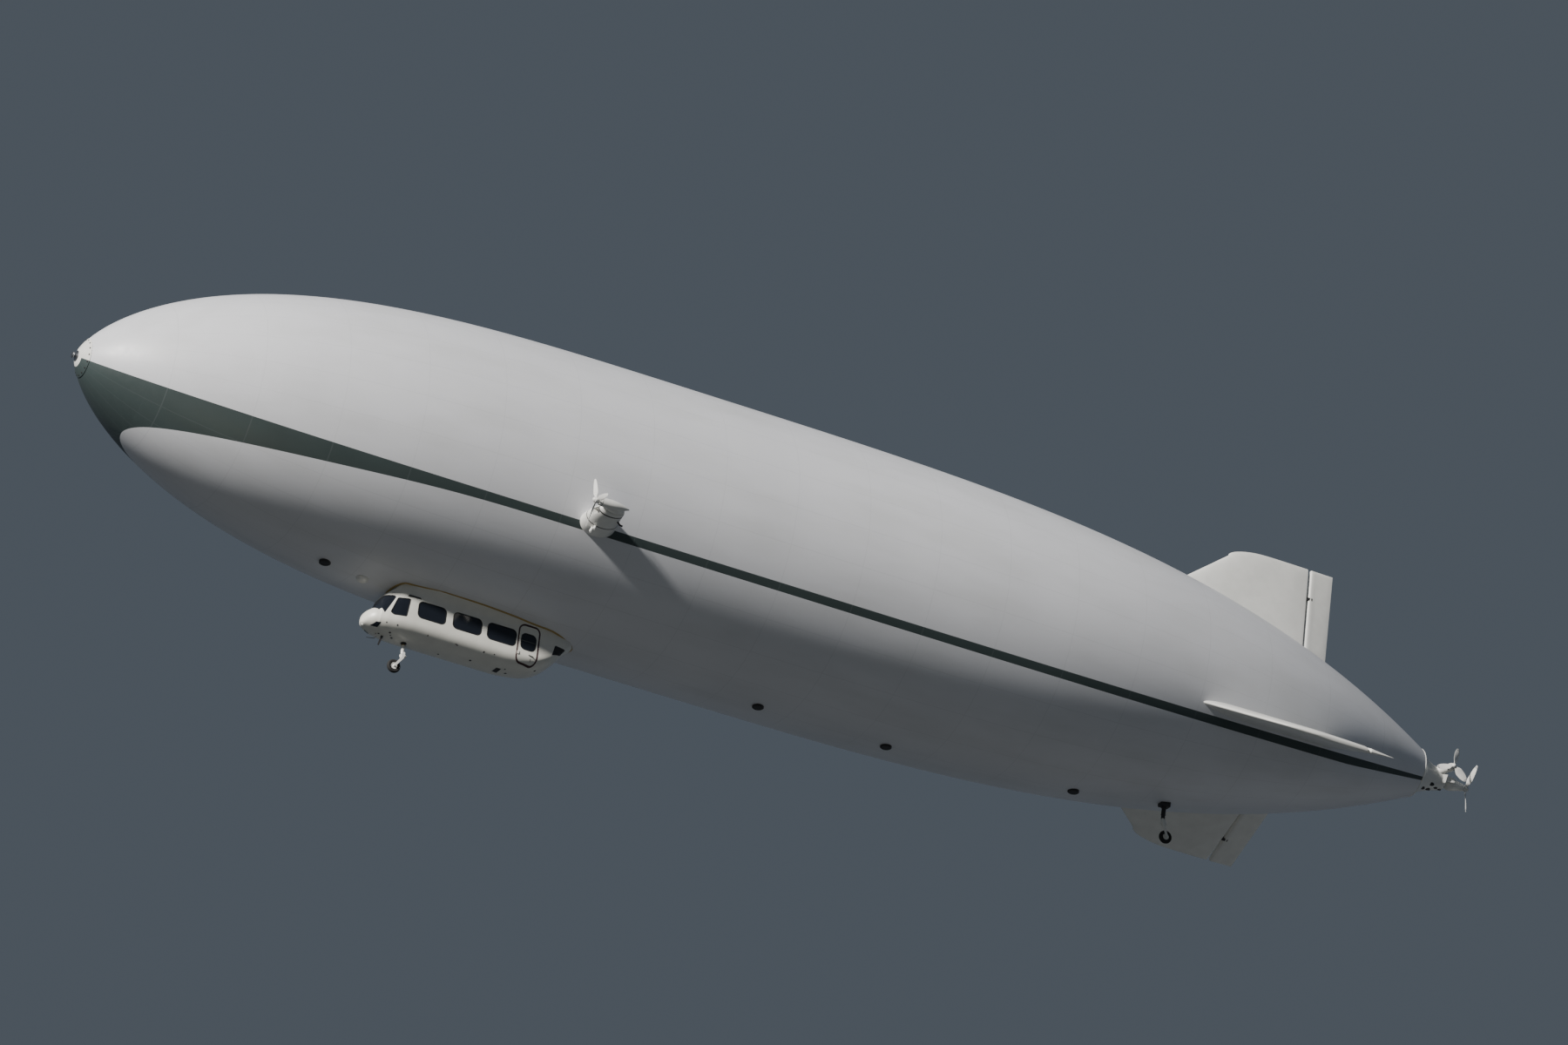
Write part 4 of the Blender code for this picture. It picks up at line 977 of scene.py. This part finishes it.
# Small round marks under the gondola: x, y, radius
bellyDots = ((-8.645, -0.04, 0.024), (-8.446, -0.24, 0.028), (-8.32, -0.06, 0.03), (-8.39, -0.15, 0.018),
             (-7.077, 0.02, 0.026), (-6.324, -0.14, 0.030), (-5.352, 0.0, 0.032), (-4.725, -0.25, 0.028),
             (-5.45, -0.19, 0.020))
# Small round marks on its side: x, z, radius
sideDots = ((-8.636, -4.461, 0.014), (-8.373, -4.471, 0.016), (-7.589, -4.500, 0.014),
            (-6.147, -4.489, 0.018), (-5.886, -4.475, 0.012), (-5.352, -4.265, 0.018))
chinWindow = ((-8.855, -0.335), (-8.755, -0.385), (-8.775, -0.235), (-8.935, -0.155))
bellyHatch = ((-5.68, 0.05), (-5.66, -0.17), (-5.54, -0.17), (-5.55, 0.08))
tailVent = ((-4.40, 0, -3.80), (-4.09, 0, -3.80), (-4.215, 0, -3.975), (-4.46, 0, -4.07))


def dot(a, b, radius):
    turns = steps(0, 2 * math.pi, 14)[:-1]
    return [(a + radius * math.cos(turn), b + radius * math.sin(turn)) for turn in turns]


def upward(name, outline):
    return prism(name, [(x, y, -4.75) for x, y in outline], (0, 0, 0.36))


def makeMarks():
    # Patches just proud of the gondola's skin: ports, drains, the chin windows and the tail vents
    skin = thinSkin("markSkin", -gondola["markProud"], gondola["markDepth"])
    dots = [upward(f"belly{i}", dot(*row)) for i, row in enumerate(bellyDots)]
    dots.append(upward("hatch", bellyHatch))
    for side in (-1, 1):
        places = [[(x, 0, z) for x, z in dot(*row)] for row in sideDots]
        dots += [through(f"side{i}", place, side * 0.3, side * 0.8) for i, place in enumerate(places)]
        dots.append(through("vent", softened(tailVent, 0.03), side * 0.2, side * 0.8))
    marks = cut(copied(skin, "gondolaMarks", Matrix.Identity(4)), joined("dots", dots), "INTERSECT")
    finish(marks, "root", "dark_coat", finishes["dark"])
    chins = [upward(f"chin{side}", [(x, y * -side) for x, y in chinWindow]) for side in (-1, 1)]
    chins = cut(skin, joined("chins", chins), "INTERSECT")
    chins.name = "chinWindows"
    finish(chins, "root", "tinted_glass", finishes["glass"])

    rail = prism("roofRail", [(-8.24, -0.30, -3.70), (-7.90, -0.30, -3.70), (-7.93, -0.30, -3.665),
                              (-8.21, -0.30, -3.665)], (0, -0.274, 0))
    step = prism("stepPlate", [(-7.02, 0, -4.41), (-6.985, 0, -4.40), (-6.80, 0, -4.52),
                               (-6.835, 0, -4.53)], (0, 0.012, 0))
    step.data.transform(Matrix.Translation((0, -0.478, 0)))
    lamp = block("stepLamp", (-7.03, -0.49, -4.455), (-6.985, -0.46, -4.40), 0.008)
    finish(lamp, "root", "gondola_paint", finishes["white"])
    nose = spun("noseLamp", [(0, 0), (0, 0.030), (0.014, 0.034), (0.030, 0.028), (0.036, 0.0)], 24,
                (-9.05, 0, -4.468), (-0.6, 0, -0.8))
    finish(nose, "root", "gondola_paint", finishes["white"])
    mast = rod("probeMast", [(-8.70, 0, -4.59), (-8.69, 0, -4.66), (-8.72, 0, -4.735), (-8.92, 0, -4.77)],
               [0.012, 0.011, 0.009, 0.006], 12)
    blade = prism("bladeAntenna", [(-8.56, -0.006, -4.59), (-8.50, -0.006, -4.60), (-8.585, -0.006, -4.87),
                                   (-8.625, -0.006, -4.87)], (0, 0.012, 0))
    finish(joined("bellyAntennas", [rail, step, mast, blade]), "root", "dark_coat", finishes["dark"])


makeShell()
makeFrames()
makePanes()
makeDoor()
makeInterior()
makeSeam()
makeMarks()

# gear

print("gear")


gear = {"frontPivot": -7.98, "aftPivot": 12.02}


def makeWheel(name, centre, radius, width, body):
    # The tyre and its hub, both turned about the axle
    half = width / 2
    tread = [(half * math.cos(a) * (0.92 + 0.08 * abs(math.cos(a))), radius * (0.80 + 0.20 * math.sin(a)))
             for a in steps(0, math.pi, 18)]
    tread += [(-half * 0.80, radius * 0.62), (-half * 0.66, radius * 0.47), (half * 0.66, radius * 0.47),
              (half * 0.80, radius * 0.62), tread[0]]
    tyre = spun(name + "Tyre", tread, 64, centre, (0, 1, 0))
    finish(tyre, body, "tyre", finishes["rubber"])
    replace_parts(tyre, body + "_tyre")
    face = [(-0.95, 0.0), (-0.95, 0.10), (-0.88, 0.15), (-0.58, 0.18), (-0.50, 0.25), (-0.56, 0.38),
            (-0.72, 0.43), (-0.74, 0.468), (-0.64, 0.465)]
    profile = [(half * a, radius * r) for a, r in face] + [(-half * a, radius * r) for a, r in face[::-1]]
    rim = spun(name + "Rim", profile, 64, centre, (0, 1, 0))
    finish(rim, body, "white_laminate", finishes["white"])
    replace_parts(rim, body + "_rim")


def makeLink(name, start, end, wide, thick):
    # A flat bar with round ends, in a plane square to Y
    start, end = Vector(start), Vector(end)
    along = (end - start).normalized()
    across = Vector((-along.z, 0, along.x))
    outline = []
    for centre, sign, width in ((start, -1, wide[0]), (end, 1, wide[1])):
        for turn in steps(-math.pi / 2, math.pi / 2, 8):
            ahead = sign * along * math.cos(turn) * width
            outline.append(centre + ahead + sign * across * math.sin(turn) * width)
    base = [point - Vector((0, thick / 2, 0)) for point in outline]
    return prism(name, base, (0, thick, 0))


def makeFork(label, pivotX, top, centre, body):
    # A castering post with a pierced knee plate and one trailing arm on the port side of the wheel
    x, z = centre
    knee = (pivotX, 0, top - 0.13)
    profile = [(0, 0), (0, 0.036), (0.02, 0.040), (0.04, 0.036), (0.10, 0.034), (0.12, 0.042),
               (0.15, 0.042), (0.16, 0.03), (0.16, 0)]
    post = spun(label + "Post", profile, 32, (pivotX, 0, top), (0, 0, -1))
    link = makeLink(label + "Knee", (pivotX + 0.03, -0.035, top - 0.05),
                    (pivotX - 0.035, -0.035, knee[2] - 0.01), (0.030, 0.040), 0.02)
    bridge = makeLink(label + "Bridge", (pivotX, -0.030, knee[2]),
                      (pivotX, -0.030, knee[2] - 0.005), (0.042, 0.042), 0.12)
    plate = [(0.0, 0.085), (0.098, 0.0), (0.05, -0.075), (-0.04, -0.095), (-0.085, 0.0)]
    plate = softened([(pivotX + u, -0.035, knee[2] + v) for u, v in plate], 0.02)
    plate = prism(label + "Plate", plate, (0, -0.022, 0))
    hole = spun("hole", [(-0.1, 0), (-0.1, 0.026), (0.1, 0.026), (0.1, 0)], 20,
                (pivotX + 0.005, -0.05, knee[2]), (0, 1, 0))
    cut(plate, hole)
    arm = makeLink(label + "Arm", (pivotX, -0.076, knee[2] - 0.05), (x, -0.076, z), (0.030, 0.026), 0.026)
    profile = [(0, 0), (0, 0.026), (0.008, 0.030), (0.02, 0.030), (0.024, 0.020), (0.05, 0.020), (0.05, 0)]
    axle = spun(label + "Axle", profile, 32, (x, -0.100, z), (0, 1, 0))
    piece = joined(label + "Fork", [post, link, bridge, plate, arm, axle])
    finish(piece, body, "white_laminate", finishes["white"])
    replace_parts(piece, label + "_gear_fork")


def makeGear():
    for label in ("front", "aft"):
        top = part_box(label + "_gear_fork")[1][2]
        low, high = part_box(label + "_wheel_tyre")
        middle = [(a + b) / 2 for a, b in zip(low, high)]
        makeFork(label, gear[label + "Pivot"], top, (middle[0], middle[2]), label + "_fork")
        makeWheel(label + "Wheel", middle, (high[2] - low[2]) / 2, high[1] - low[1], label + "_wheel")

    low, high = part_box("front_gear_leg")
    pivot = gear["frontPivot"]
    foot = between(gondolaRows, pivot)[1] + 0.012
    reach = foot - low[2]
    profile = [(0, 0), (0, 0.072), (0.026, 0.072), (0.034, 0.062), (0.038, 0.046), (0.075, 0.043),
               (reach, 0.043), (reach, 0)]
    leg = spun("frontLeg", profile, 48, (pivot, 0, foot), (0, 0, -1))
    leg.data.materials.append(finishes["dark"])
    leg.data.materials.append(finishes["white"])
    for face in leg.data.polygons:
        if face.center.z < foot - 0.076:
            face.material_index = 1
    finish(leg, "root", "dark_coat")
    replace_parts(leg, "front_gear_leg")
    profile = [(0, 0.040), (0, 0.050), (0.014, 0.050), (0.014, 0.040), (0, 0.040)]
    band = spun("frontLegBand", profile, 48, (pivot, 0, foot - 0.06), (0, 0, -1))
    finish(band, "root", "dark_coat", finishes["ochre"])

    low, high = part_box("aft_gear_leg")
    foot = low[2] + 0.31
    plate = block("aftBracket", (low[0], low[1], foot), (high[0], high[1], high[2] + 0.1), 0.02)
    cut(plate, hullForm, keep=True)
    profile = [(0, 0), (0, 0.07), (0.03, 0.068), (0.04, 0.054), (0.19, 0.054), (0.195, 0.058),
               (0.215, 0.058), (0.22, 0.048), (0.31, 0.048), (0.31, 0)]
    strut = spun("aftStrut", profile, 40, (gear["aftPivot"], 0, foot), (0, 0, -1))
    leg = joined("aftLeg", [plate, strut])
    finish(leg, "root", "dark_coat", finishes["dark"])
    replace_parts(leg, "aft_gear_leg")


makeGear()

# propellers

print("propellers")

# Share of the radius, share of the chord, pitch, thickness as a share of the width
bladeRows = ((0.04, 0.35, 60, 0.90), (0.16, 0.50, 50, 0.50), (0.35, 1.00, 36, 0.22), (0.65, 0.95, 24, 0.13),
             (0.90, 0.62, 18, 0.11), (0.985, 0.36, 16, 0.12), (1.0, 0.12, 16, 0.12))
bladeShares = (0.04, 0.08, 0.12, 0.16, 0.22, 0.28, 0.35, 0.43, 0.52, 0.61, 0.70, 0.78, 0.85, 0.90,
               0.925, 0.95, 0.97, 0.985, 0.995, 1.0)
tipStripes = ((0.90, 0.925), (0.95, 0.97))


def makeBlade(radius, chord, striped):
    rings = []
    for share in bladeShares:
        wide, pitch, thick = between(bladeRows, share)
        half = chord * wide / 2
        tall = half * thick
        angle = math.radians(pitch)
        ring = []
        for turn in steps(0, 2 * math.pi, 20)[:-1]:
            u = half * math.cos(turn)
            v = tall * math.sin(turn) * (1 - 0.35 * math.cos(turn)) * (1.0 if math.sin(turn) > 0 else 0.75)
            ring.append((share * radius, u * math.cos(angle) - v * math.sin(angle),
                         u * math.sin(angle) + v * math.cos(angle)))
        rings.append(ring)
    blade = loft("blade", rings)
    blade.data.materials.append(finishes["blade"])
    blade.data.materials.append(finishes["gray"])
    for face in blade.data.polygons:
        share = face.center.x / radius
        if striped and any(low < share < high for low, high in tipStripes):
            face.material_index = 1
    return blade


def makePropeller(name, body, centre, axis, radius, chord, first, back, striped, node):
    size = radius * 0.1
    profile = [(-back, 0.0), (-back, size * 0.78), (-size * 0.62, size * 0.82), (-size * 0.58, size * 1.05),
               (-size * 0.50, size * 1.12), (size * 0.42, size * 1.12), (size * 0.50, size * 1.05),
               (size * 0.54, size * 0.98), (size * 0.80, size * 0.90), (size * 1.05, size * 0.72),
               (size * 1.24, size * 0.46), (size * 1.36, size * 0.20), (size * 1.40, 0.0)]
    turn = Vector((0, 0, 1)).rotation_difference(Vector(axis)).to_matrix().to_4x4()
    place = Matrix.Translation(Vector(centre)) @ turn
    hub = spun(name + "Hub", profile, 48, (0, 0, 0), (0, 0, 1))
    hub.data.transform(place)
    hub.data.materials.append(finishes["blade"])
    blade = makeBlade(radius, chord, striped)
    blades = []
    for i in range(3):
        spin = Matrix.Rotation(math.radians(first + 120 * i), 4, "Z")
        blades.append(copied(blade, f"{name}Blade{i}", place @ spin))
    bpy.data.objects.remove(blade, do_unlink=True)
    piece = joined(name, blades)
    finish(piece, body, "blade_paint")
    finish(hub, body, "blade_paint")
    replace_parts(piece, node)


# side engines

print("engines")

engine = {
    "x": -4.79, "z": -1.735, "headY": 4.20, "podEnd": 3.98, "reach": 0.57, "firstBlade": 20,
    "radius": 0.675, "chord": 0.125, "hubBack": 0.0697,
}
# Distance from the hull's axis, front, rear, half height
podRows = ((2.55, -5.24, -4.33, 0.26), (2.95, -5.24, -4.32, 0.275), (3.20, -5.23, -4.36, 0.27),
           (3.45, -5.22, -4.42, 0.245), (3.70, -5.19, -4.47, 0.195), (3.88, -5.12, -4.50, 0.145),
           (3.96, -5.08, -4.515, 0.12), (3.98, -5.05, -4.53, 0.10))
# Distance from the hull's axis, half size along X, half height
neckRows = ((3.995, 0.236, 0.096), (4.000, 0.245, 0.105), (4.04, 0.24, 0.11), (4.10, 0.17, 0.10),
            (4.16, 0.10, 0.09), (4.20, 0.06, 0.06))


def oval(middle, y, wide, tall, power):
    ring = []
    for a in steps(0, 2 * math.pi, 56)[:-1]:
        across = math.copysign(abs(math.cos(a)) ** power, math.cos(a))
        ring.append((middle + wide * across, -y, engine["z"] + tall * math.sin(a)))
    return ring


def podRing(y, grow=0.0):
    front, rear, tall = between(podRows, y)
    return oval((front + rear) / 2, y, (rear - front) / 2 + grow, tall + grow, 0.92)


def neckRing(y):
    wide, tall = between(neckRows, y)
    return oval(engine["x"], y, wide, tall, 1.0)


def makePod():
    # The port pod with its seams, intake, exhaust stubs and the pipe behind it, and a dark block as painted
    # shade inside the intake
    places = steps(2.6, 3.70, 18) + steps(3.70, engine["podEnd"], 12)[1:]
    pod = loft("podCowl", [podRing(place) for place in places])
    cut(pod, hullForm, keep=True)
    mouth = block("mouth", (-5.32, -3.85, -1.83), (-5.03, -3.66, -1.68), 0.02)
    cut(pod, mouth)
    painted(pod, "white")
    # A dark block across the intake's back wall: painted shade in the depth of the recess
    intakeShade = painted(block("podIntakeShade", (-5.06, -3.86, -1.84), (-5.00, -3.65, -1.67), 0.01), "dark")
    seam = painted(loft("podSeam", [podRing(3.390, 0.0015), podRing(3.416, 0.0015)]), "dark")
    endSeam = painted(loft("podEndSeam", [podRing(3.855, 0.0015), podRing(3.885, 0.0015)]), "dark")
    stubs = []
    for name, inner, outer in (("stubOne", (-4.95, -3.36, -1.93), (-5.00, -3.42, -2.06)),
                               ("stubTwo", (-4.97, -3.26, -1.93), (-5.06, -3.36, -2.12))):
        end = [b + (b - a) * 0.12 for a, b in zip(inner, outer)]
        stub = rod(name, [inner, outer, end], [0.032, 0.032, 0.026], 20)
        stubs.append(painted(stub, "white"))
    pipe = rod("podPipe", [(-4.59, -3.70, -1.83), (-4.48, -3.70, -1.925), (-4.42, -3.70, -1.93)], 0.022, 16)
    painted(pipe, "dark")
    return [(pod, "white_laminate"), (intakeShade, "dark_coat"), (seam, "dark_coat"), (endSeam, "dark_coat"),
            (stubs[0], "steel"), (stubs[1], "steel"), (pipe, "dark_coat")]


def makeHead():
    # The port swivel head: a neck that turns against the pod and the fairing that it carries
    x, z, y = engine["x"], engine["z"], -engine["headY"]
    reach = engine["headY"] - engine["podEnd"]
    places = [3.995, 3.997, 4.0, 4.008] + steps(4.02, 4.20, 12)
    neck = loft("headNeck", [neckRing(place) for place in places])
    line = [(-0.29, 0.0), (-0.288, 0.006), (-0.27, 0.017), (-0.22, 0.036), (-0.15, 0.060),
            (-0.07, 0.080), (0.0, 0.095), (0.08, 0.105), (0.15, 0.110), (0.22, 0.111), (0.30, 0.110),
            (0.38, 0.107), (0.43, 0.104), (0.47, 0.098), (0.49, 0.093), (0.498, 0.086), (0.50, 0.0)]
    fairing = spun("headFairing", line, 64, (x, y, z), (-1, 0, 0))
    line = [(0.424, 0.0), (0.424, 0.1062), (0.430, 0.1060), (0.430, 0.0)]
    seam = spun("fairingSeam", line, 64, (x, y, z), (-1, 0, 0))
    line = [(reach - 0.03, 0), (reach - 0.03, 0.08), (reach - 0.0004, 0.08), (reach - 0.0004, 0)]
    collar = spun("headCollar", line, 48, (x, y, z), (0, 1, 0))
    return [(painted(neck, "white"), "white_laminate"), (painted(fairing, "white"), "white_laminate"),
            (painted(seam, "dark"), "dark_coat"), (painted(collar, "dark"), "dark_coat")]


def makeSideEngines():
    groups = (("root", "engine_cowl_", makePod()), ("swivel_", "swivel_head_", makeHead()))
    for body, node, pieces in groups:
        for i, (piece, slot) in enumerate(pieces):
            twin = copied(piece, piece.name + "Starboard", mirrorY)
            piece.name += "Port"
            for side, label in ((piece, "port"), (twin, "starboard")):
                finish(side, body if body == "root" else body + label, slot)
                if i == 0:
                    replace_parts(side, node + label)
    for label, side in (("port", -1), ("starboard", 1)):
        centre = (engine["x"] - engine["reach"], side * engine["headY"], engine["z"])
        makePropeller("propeller" + label.title(), "propeller_" + label, centre, (-1, 0, 0),
                      engine["radius"], engine["chord"], engine["firstBlade"], engine["hubBack"],
                      False, "propeller_" + label)
        middle = Vector((-4.81, side * 3.46, engine["z"]))
        size = Vector((0.19, 0.18, 0.12))
        motor = block("motor" + label.title(), middle - size, middle + size, 0.02)
        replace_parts(finish(motor, "root", "steel", finishes["steel"]), "engine_block_" + label)


makeSideEngines()

# stern

print("stern")

stern = {
    "ringX": 18.6503, "coneX": 18.6856, "tipX": 19.45, "pivotX": 19.66, "pusherX": 20.12,
    "pusherChord": 0.15, "pusherFirstBlade": 110, "lateralPlace": (19.48, -0.52, 0.24),
    "lateralRadius": 0.48, "lateralChord": 0.19, "lateralFirstBlade": 80, "lateralHubBack": 0.0497,
}
# Dark vents under the cone: x, turn from the top, half length, half width
sternVents = ((18.86, math.radians(158), 0.055, 0.045), (19.06, math.radians(140), 0.075, 0.045),
              (19.02, math.radians(168), 0.09, 0.035), (19.24, math.radians(160), 0.055, 0.028),
              (19.38, math.radians(172), 0.05, 0.03))
coneRows = ((18.6856, 0.586), (18.762, 0.50), (18.915, 0.415), (19.144, 0.32), (19.45, 0.235))


def makeSternRing():
    # The ring that closes the hull's end round the cone
    rim = hullRadius(ship["hullEnd"])
    start = stern["ringX"]
    profile = [(start, 0.10), (start, rim - 0.008), (start + 0.004, rim), (start + 0.012, rim + 0.004),
               (start + 0.022, rim + 0.002), (start + 0.031, rim - 0.012), (start + 0.035, rim - 0.022),
               (start + 0.035, 0.10), (start, 0.10)]
    ring = spun("sternRing", profile, 96)
    finish(ring, "root", "white_laminate", finishes["white"])
    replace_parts(ring, "stern_ring")


def makeCone():
    # The cone with the two ears that carry the pusher head
    places = steps(stern["coneX"], stern["tipX"], 28)
    profile = [(places[0], 0.574)] + [(x, between(coneRows, x)[0]) for x in places]
    for back, radius in ((0.008, 0.225), (0.004, 0.20), (-0.012, 0.18), (-0.02, 0.0)):
        profile.append((stern["tipX"] + back, radius))
    cone = spun("sternCone", profile, 96)
    finish(cone, "root", "white_laminate", finishes["white"])
    ears = []
    for side in (-1, 1):
        y = side * 0.20
        ear = makeLink("ear", (stern["tipX"] - 0.06, y, 0), (stern["pivotX"], y, 0), (0.085, 0.052), 0.03)
        ears.append(ear)
    yoke = joined("sternYoke", ears)
    finish(yoke, "root", "white_laminate", finishes["white"])
    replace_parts(cone, "stern_cowl")


def makeVents():
    # Dark plates that stand a little proud of the cone's underside
    vents = []
    for i, (x, turn, long, wide) in enumerate(sternVents):
        radius = between(coneRows, x)[0]
        point = (x, -radius * math.sin(turn), radius * math.cos(turn))
        profile = [(-0.05, 0), (-0.05, 1.0), (0.012, 1.0), (0.014, 0.9), (0.014, 0)]
        vent = spun(f"sternVent{i}", profile, 24, (0, 0, 0), (0, 0, -1))
        vent.data.transform(Matrix.Diagonal((long, wide, 1, 1)))
        vent.data.transform(Matrix.Translation(point) @ Matrix.Rotation(turn - math.pi, 4, "X"))
        vents.append(vent)
    finish(joined("sternVents", vents), "root", "dark_coat", finishes["dark"])


def makeLateral():
    # The gearbox arm, its small fin and the sideways propeller
    guard = prism("gearboxFin", [(19.22, -0.24, 0.02), (19.46, -0.30, 0.10), (19.42, -0.26, -0.14),
                                 (19.34, -0.25, -0.16)], (0, 0.03, 0))
    finish(guard, "root", "white_laminate", finishes["white"])

    box = [(19.20, -0.13, 0.11, 0.12), (19.25, -0.175, 0.14, 0.119), (19.30, -0.22, 0.17, 0.115),
           (19.36, -0.275, 0.20, 0.111), (19.42, -0.33, 0.225, 0.105), (19.46, -0.38, 0.236, 0.102),
           (19.48, -0.43, 0.24, 0.098), (19.48, -0.455, 0.24, 0.093), (19.48, -0.4697, 0.24, 0.080)]
    arm = rod("gearboxArm", [row[:3] for row in box], [row[3] for row in box], 40)
    finish(arm, "root", "white_laminate", finishes["white"])
    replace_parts(arm, "lateral_gearbox")
    makePropeller("propellerLateral", "lateral_propeller", stern["lateralPlace"], (0, -1, 0),
                  stern["lateralRadius"], stern["lateralChord"], stern["lateralFirstBlade"],
                  stern["lateralHubBack"], True, "lateral_propeller")


def makePusher():
    # The head that swivels on pins between the ears, with the rear propeller
    rows = ((-0.15, 0.06), (-0.12, 0.12), (-0.05, 0.165), (0.04, 0.17), (0.14, 0.15), (0.26, 0.11),
            (0.36, 0.09), (0.39, 0.075))
    profile = [(stern["pivotX"] - 0.15, 0.0)]
    profile += [(stern["pivotX"] + a, between(rows, a)[0]) for a in steps(-0.15, 0.39, 24)]
    profile += [(stern["pivotX"] + 0.39, 0.0)]
    head = spun("pusherHead", profile, 64)
    pin = spun("pusherPins", [(-0.1847, 0), (-0.1847, 0.03), (0.1847, 0.03), (0.1847, 0)], 32,
               (stern["pivotX"], 0, 0), (0, 1, 0))
    head = joined("pusherHead", [head, pin])
    finish(head, "pusher_head", "white_laminate", finishes["white"])
    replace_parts(head, "pusher_head")
    makePropeller("propellerPusher", "pusher_propeller", (stern["pusherX"], 0, 0), (1, 0, 0),
                  engine["radius"], stern["pusherChord"], stern["pusherFirstBlade"], engine["hubBack"],
                  True, "pusher_propeller")


makeSternRing()
makeCone()
makeVents()
makeLateral()
makePusher()

# stage, light and camera

print("stage")

view = {
    "place": (-89.364, -206.248, -107.015),
    "right": (0.88918, -0.44551, 0.10429),
    "up": (-0.27920, -0.34772, 0.89506),
    "lens": 241.07,
    "floorBelow": 1.6,
    "floorSize": 1600,
    "lampTravel": (0.832, 0.424, -0.358),
    "lampDistance": 600.0,
    "lampPower": 2.7e7,
    "lampRadius": 20.0,
    "bounceFrom": (-60.0, -70.0, -95.0),
    "bouncePower": 26000.0,
    "bounceColor": (1.0, 0.84, 0.52),
    "fill": 0.50,
    "backdrop": (0.155, 0.185, 0.225),
}


def makeStage():
    place = Vector(view["place"])
    right = Vector(view["right"]).normalized()
    up = Vector(view["up"]).normalized()
    back = right.cross(up).normalized()
    clearSelection()
    bpy.ops.object.camera_add()
    camera = bpy.context.object
    camera.name = "camera"
    turn = Matrix((right, up, back)).transposed().to_4x4()
    camera.matrix_world = Matrix.Translation(place) @ turn
    camera.data.lens = view["lens"]
    camera.data.sensor_width = 36
    camera.data.clip_end = 3000
    bpy.context.scene.camera = camera

    bpy.ops.mesh.primitive_plane_add(size=view["floorSize"], location=(0, 0, place.z - view["floorBelow"]))
    floor = bpy.context.object
    floor.name = "floor"
    floor.data.materials.append(coat("floorPaint", (0.72, 0.72, 0.71), 0.8, grain=0.5))

    travel = Vector(view["lampTravel"]).normalized()
    bpy.ops.object.light_add(type="SPOT")
    lamp = bpy.context.object
    lamp.name = "softLamp"
    lamp.data.energy = view["lampPower"]
    lamp.data.shadow_soft_size = view["lampRadius"]
    lamp.data.spot_size = math.radians(12)
    lamp.data.spot_blend = 0.5
    lamp.data.color = (1.0, 0.97, 0.92)
    turn = Vector((0, 0, -1)).rotation_difference(travel).to_matrix().to_4x4()
    lamp.matrix_world = Matrix.Translation(-travel * view["lampDistance"]) @ turn

    # A weak warm lamp under the ship stands for the light that the ground throws back
    place = Vector(view["bounceFrom"])
    bpy.ops.object.light_add(type="SPOT")
    bounce = bpy.context.object
    bounce.name = "bounceLamp"
    bounce.data.energy = view["bouncePower"]
    bounce.data.shadow_soft_size = 20.0
    bounce.data.spot_size = math.radians(50)
    bounce.data.spot_blend = 0.6
    bounce.data.color = view["bounceColor"]
    turn = Vector((0, 0, -1)).rotation_difference(-place.normalized()).to_matrix().to_4x4()
    bounce.matrix_world = Matrix.Translation(place) @ turn

    world = bpy.data.worlds.new("studio")
    world.use_nodes = True
    world.node_tree.nodes["Background"].inputs["Color"].default_value = (*view["backdrop"], 1.0)
    world.node_tree.nodes["Background"].inputs["Strength"].default_value = view["fill"]
    bpy.context.scene.world = world


makeStage()
bpy.data.objects.remove(hullForm, do_unlink=True)
clearSelection()

print("finish")
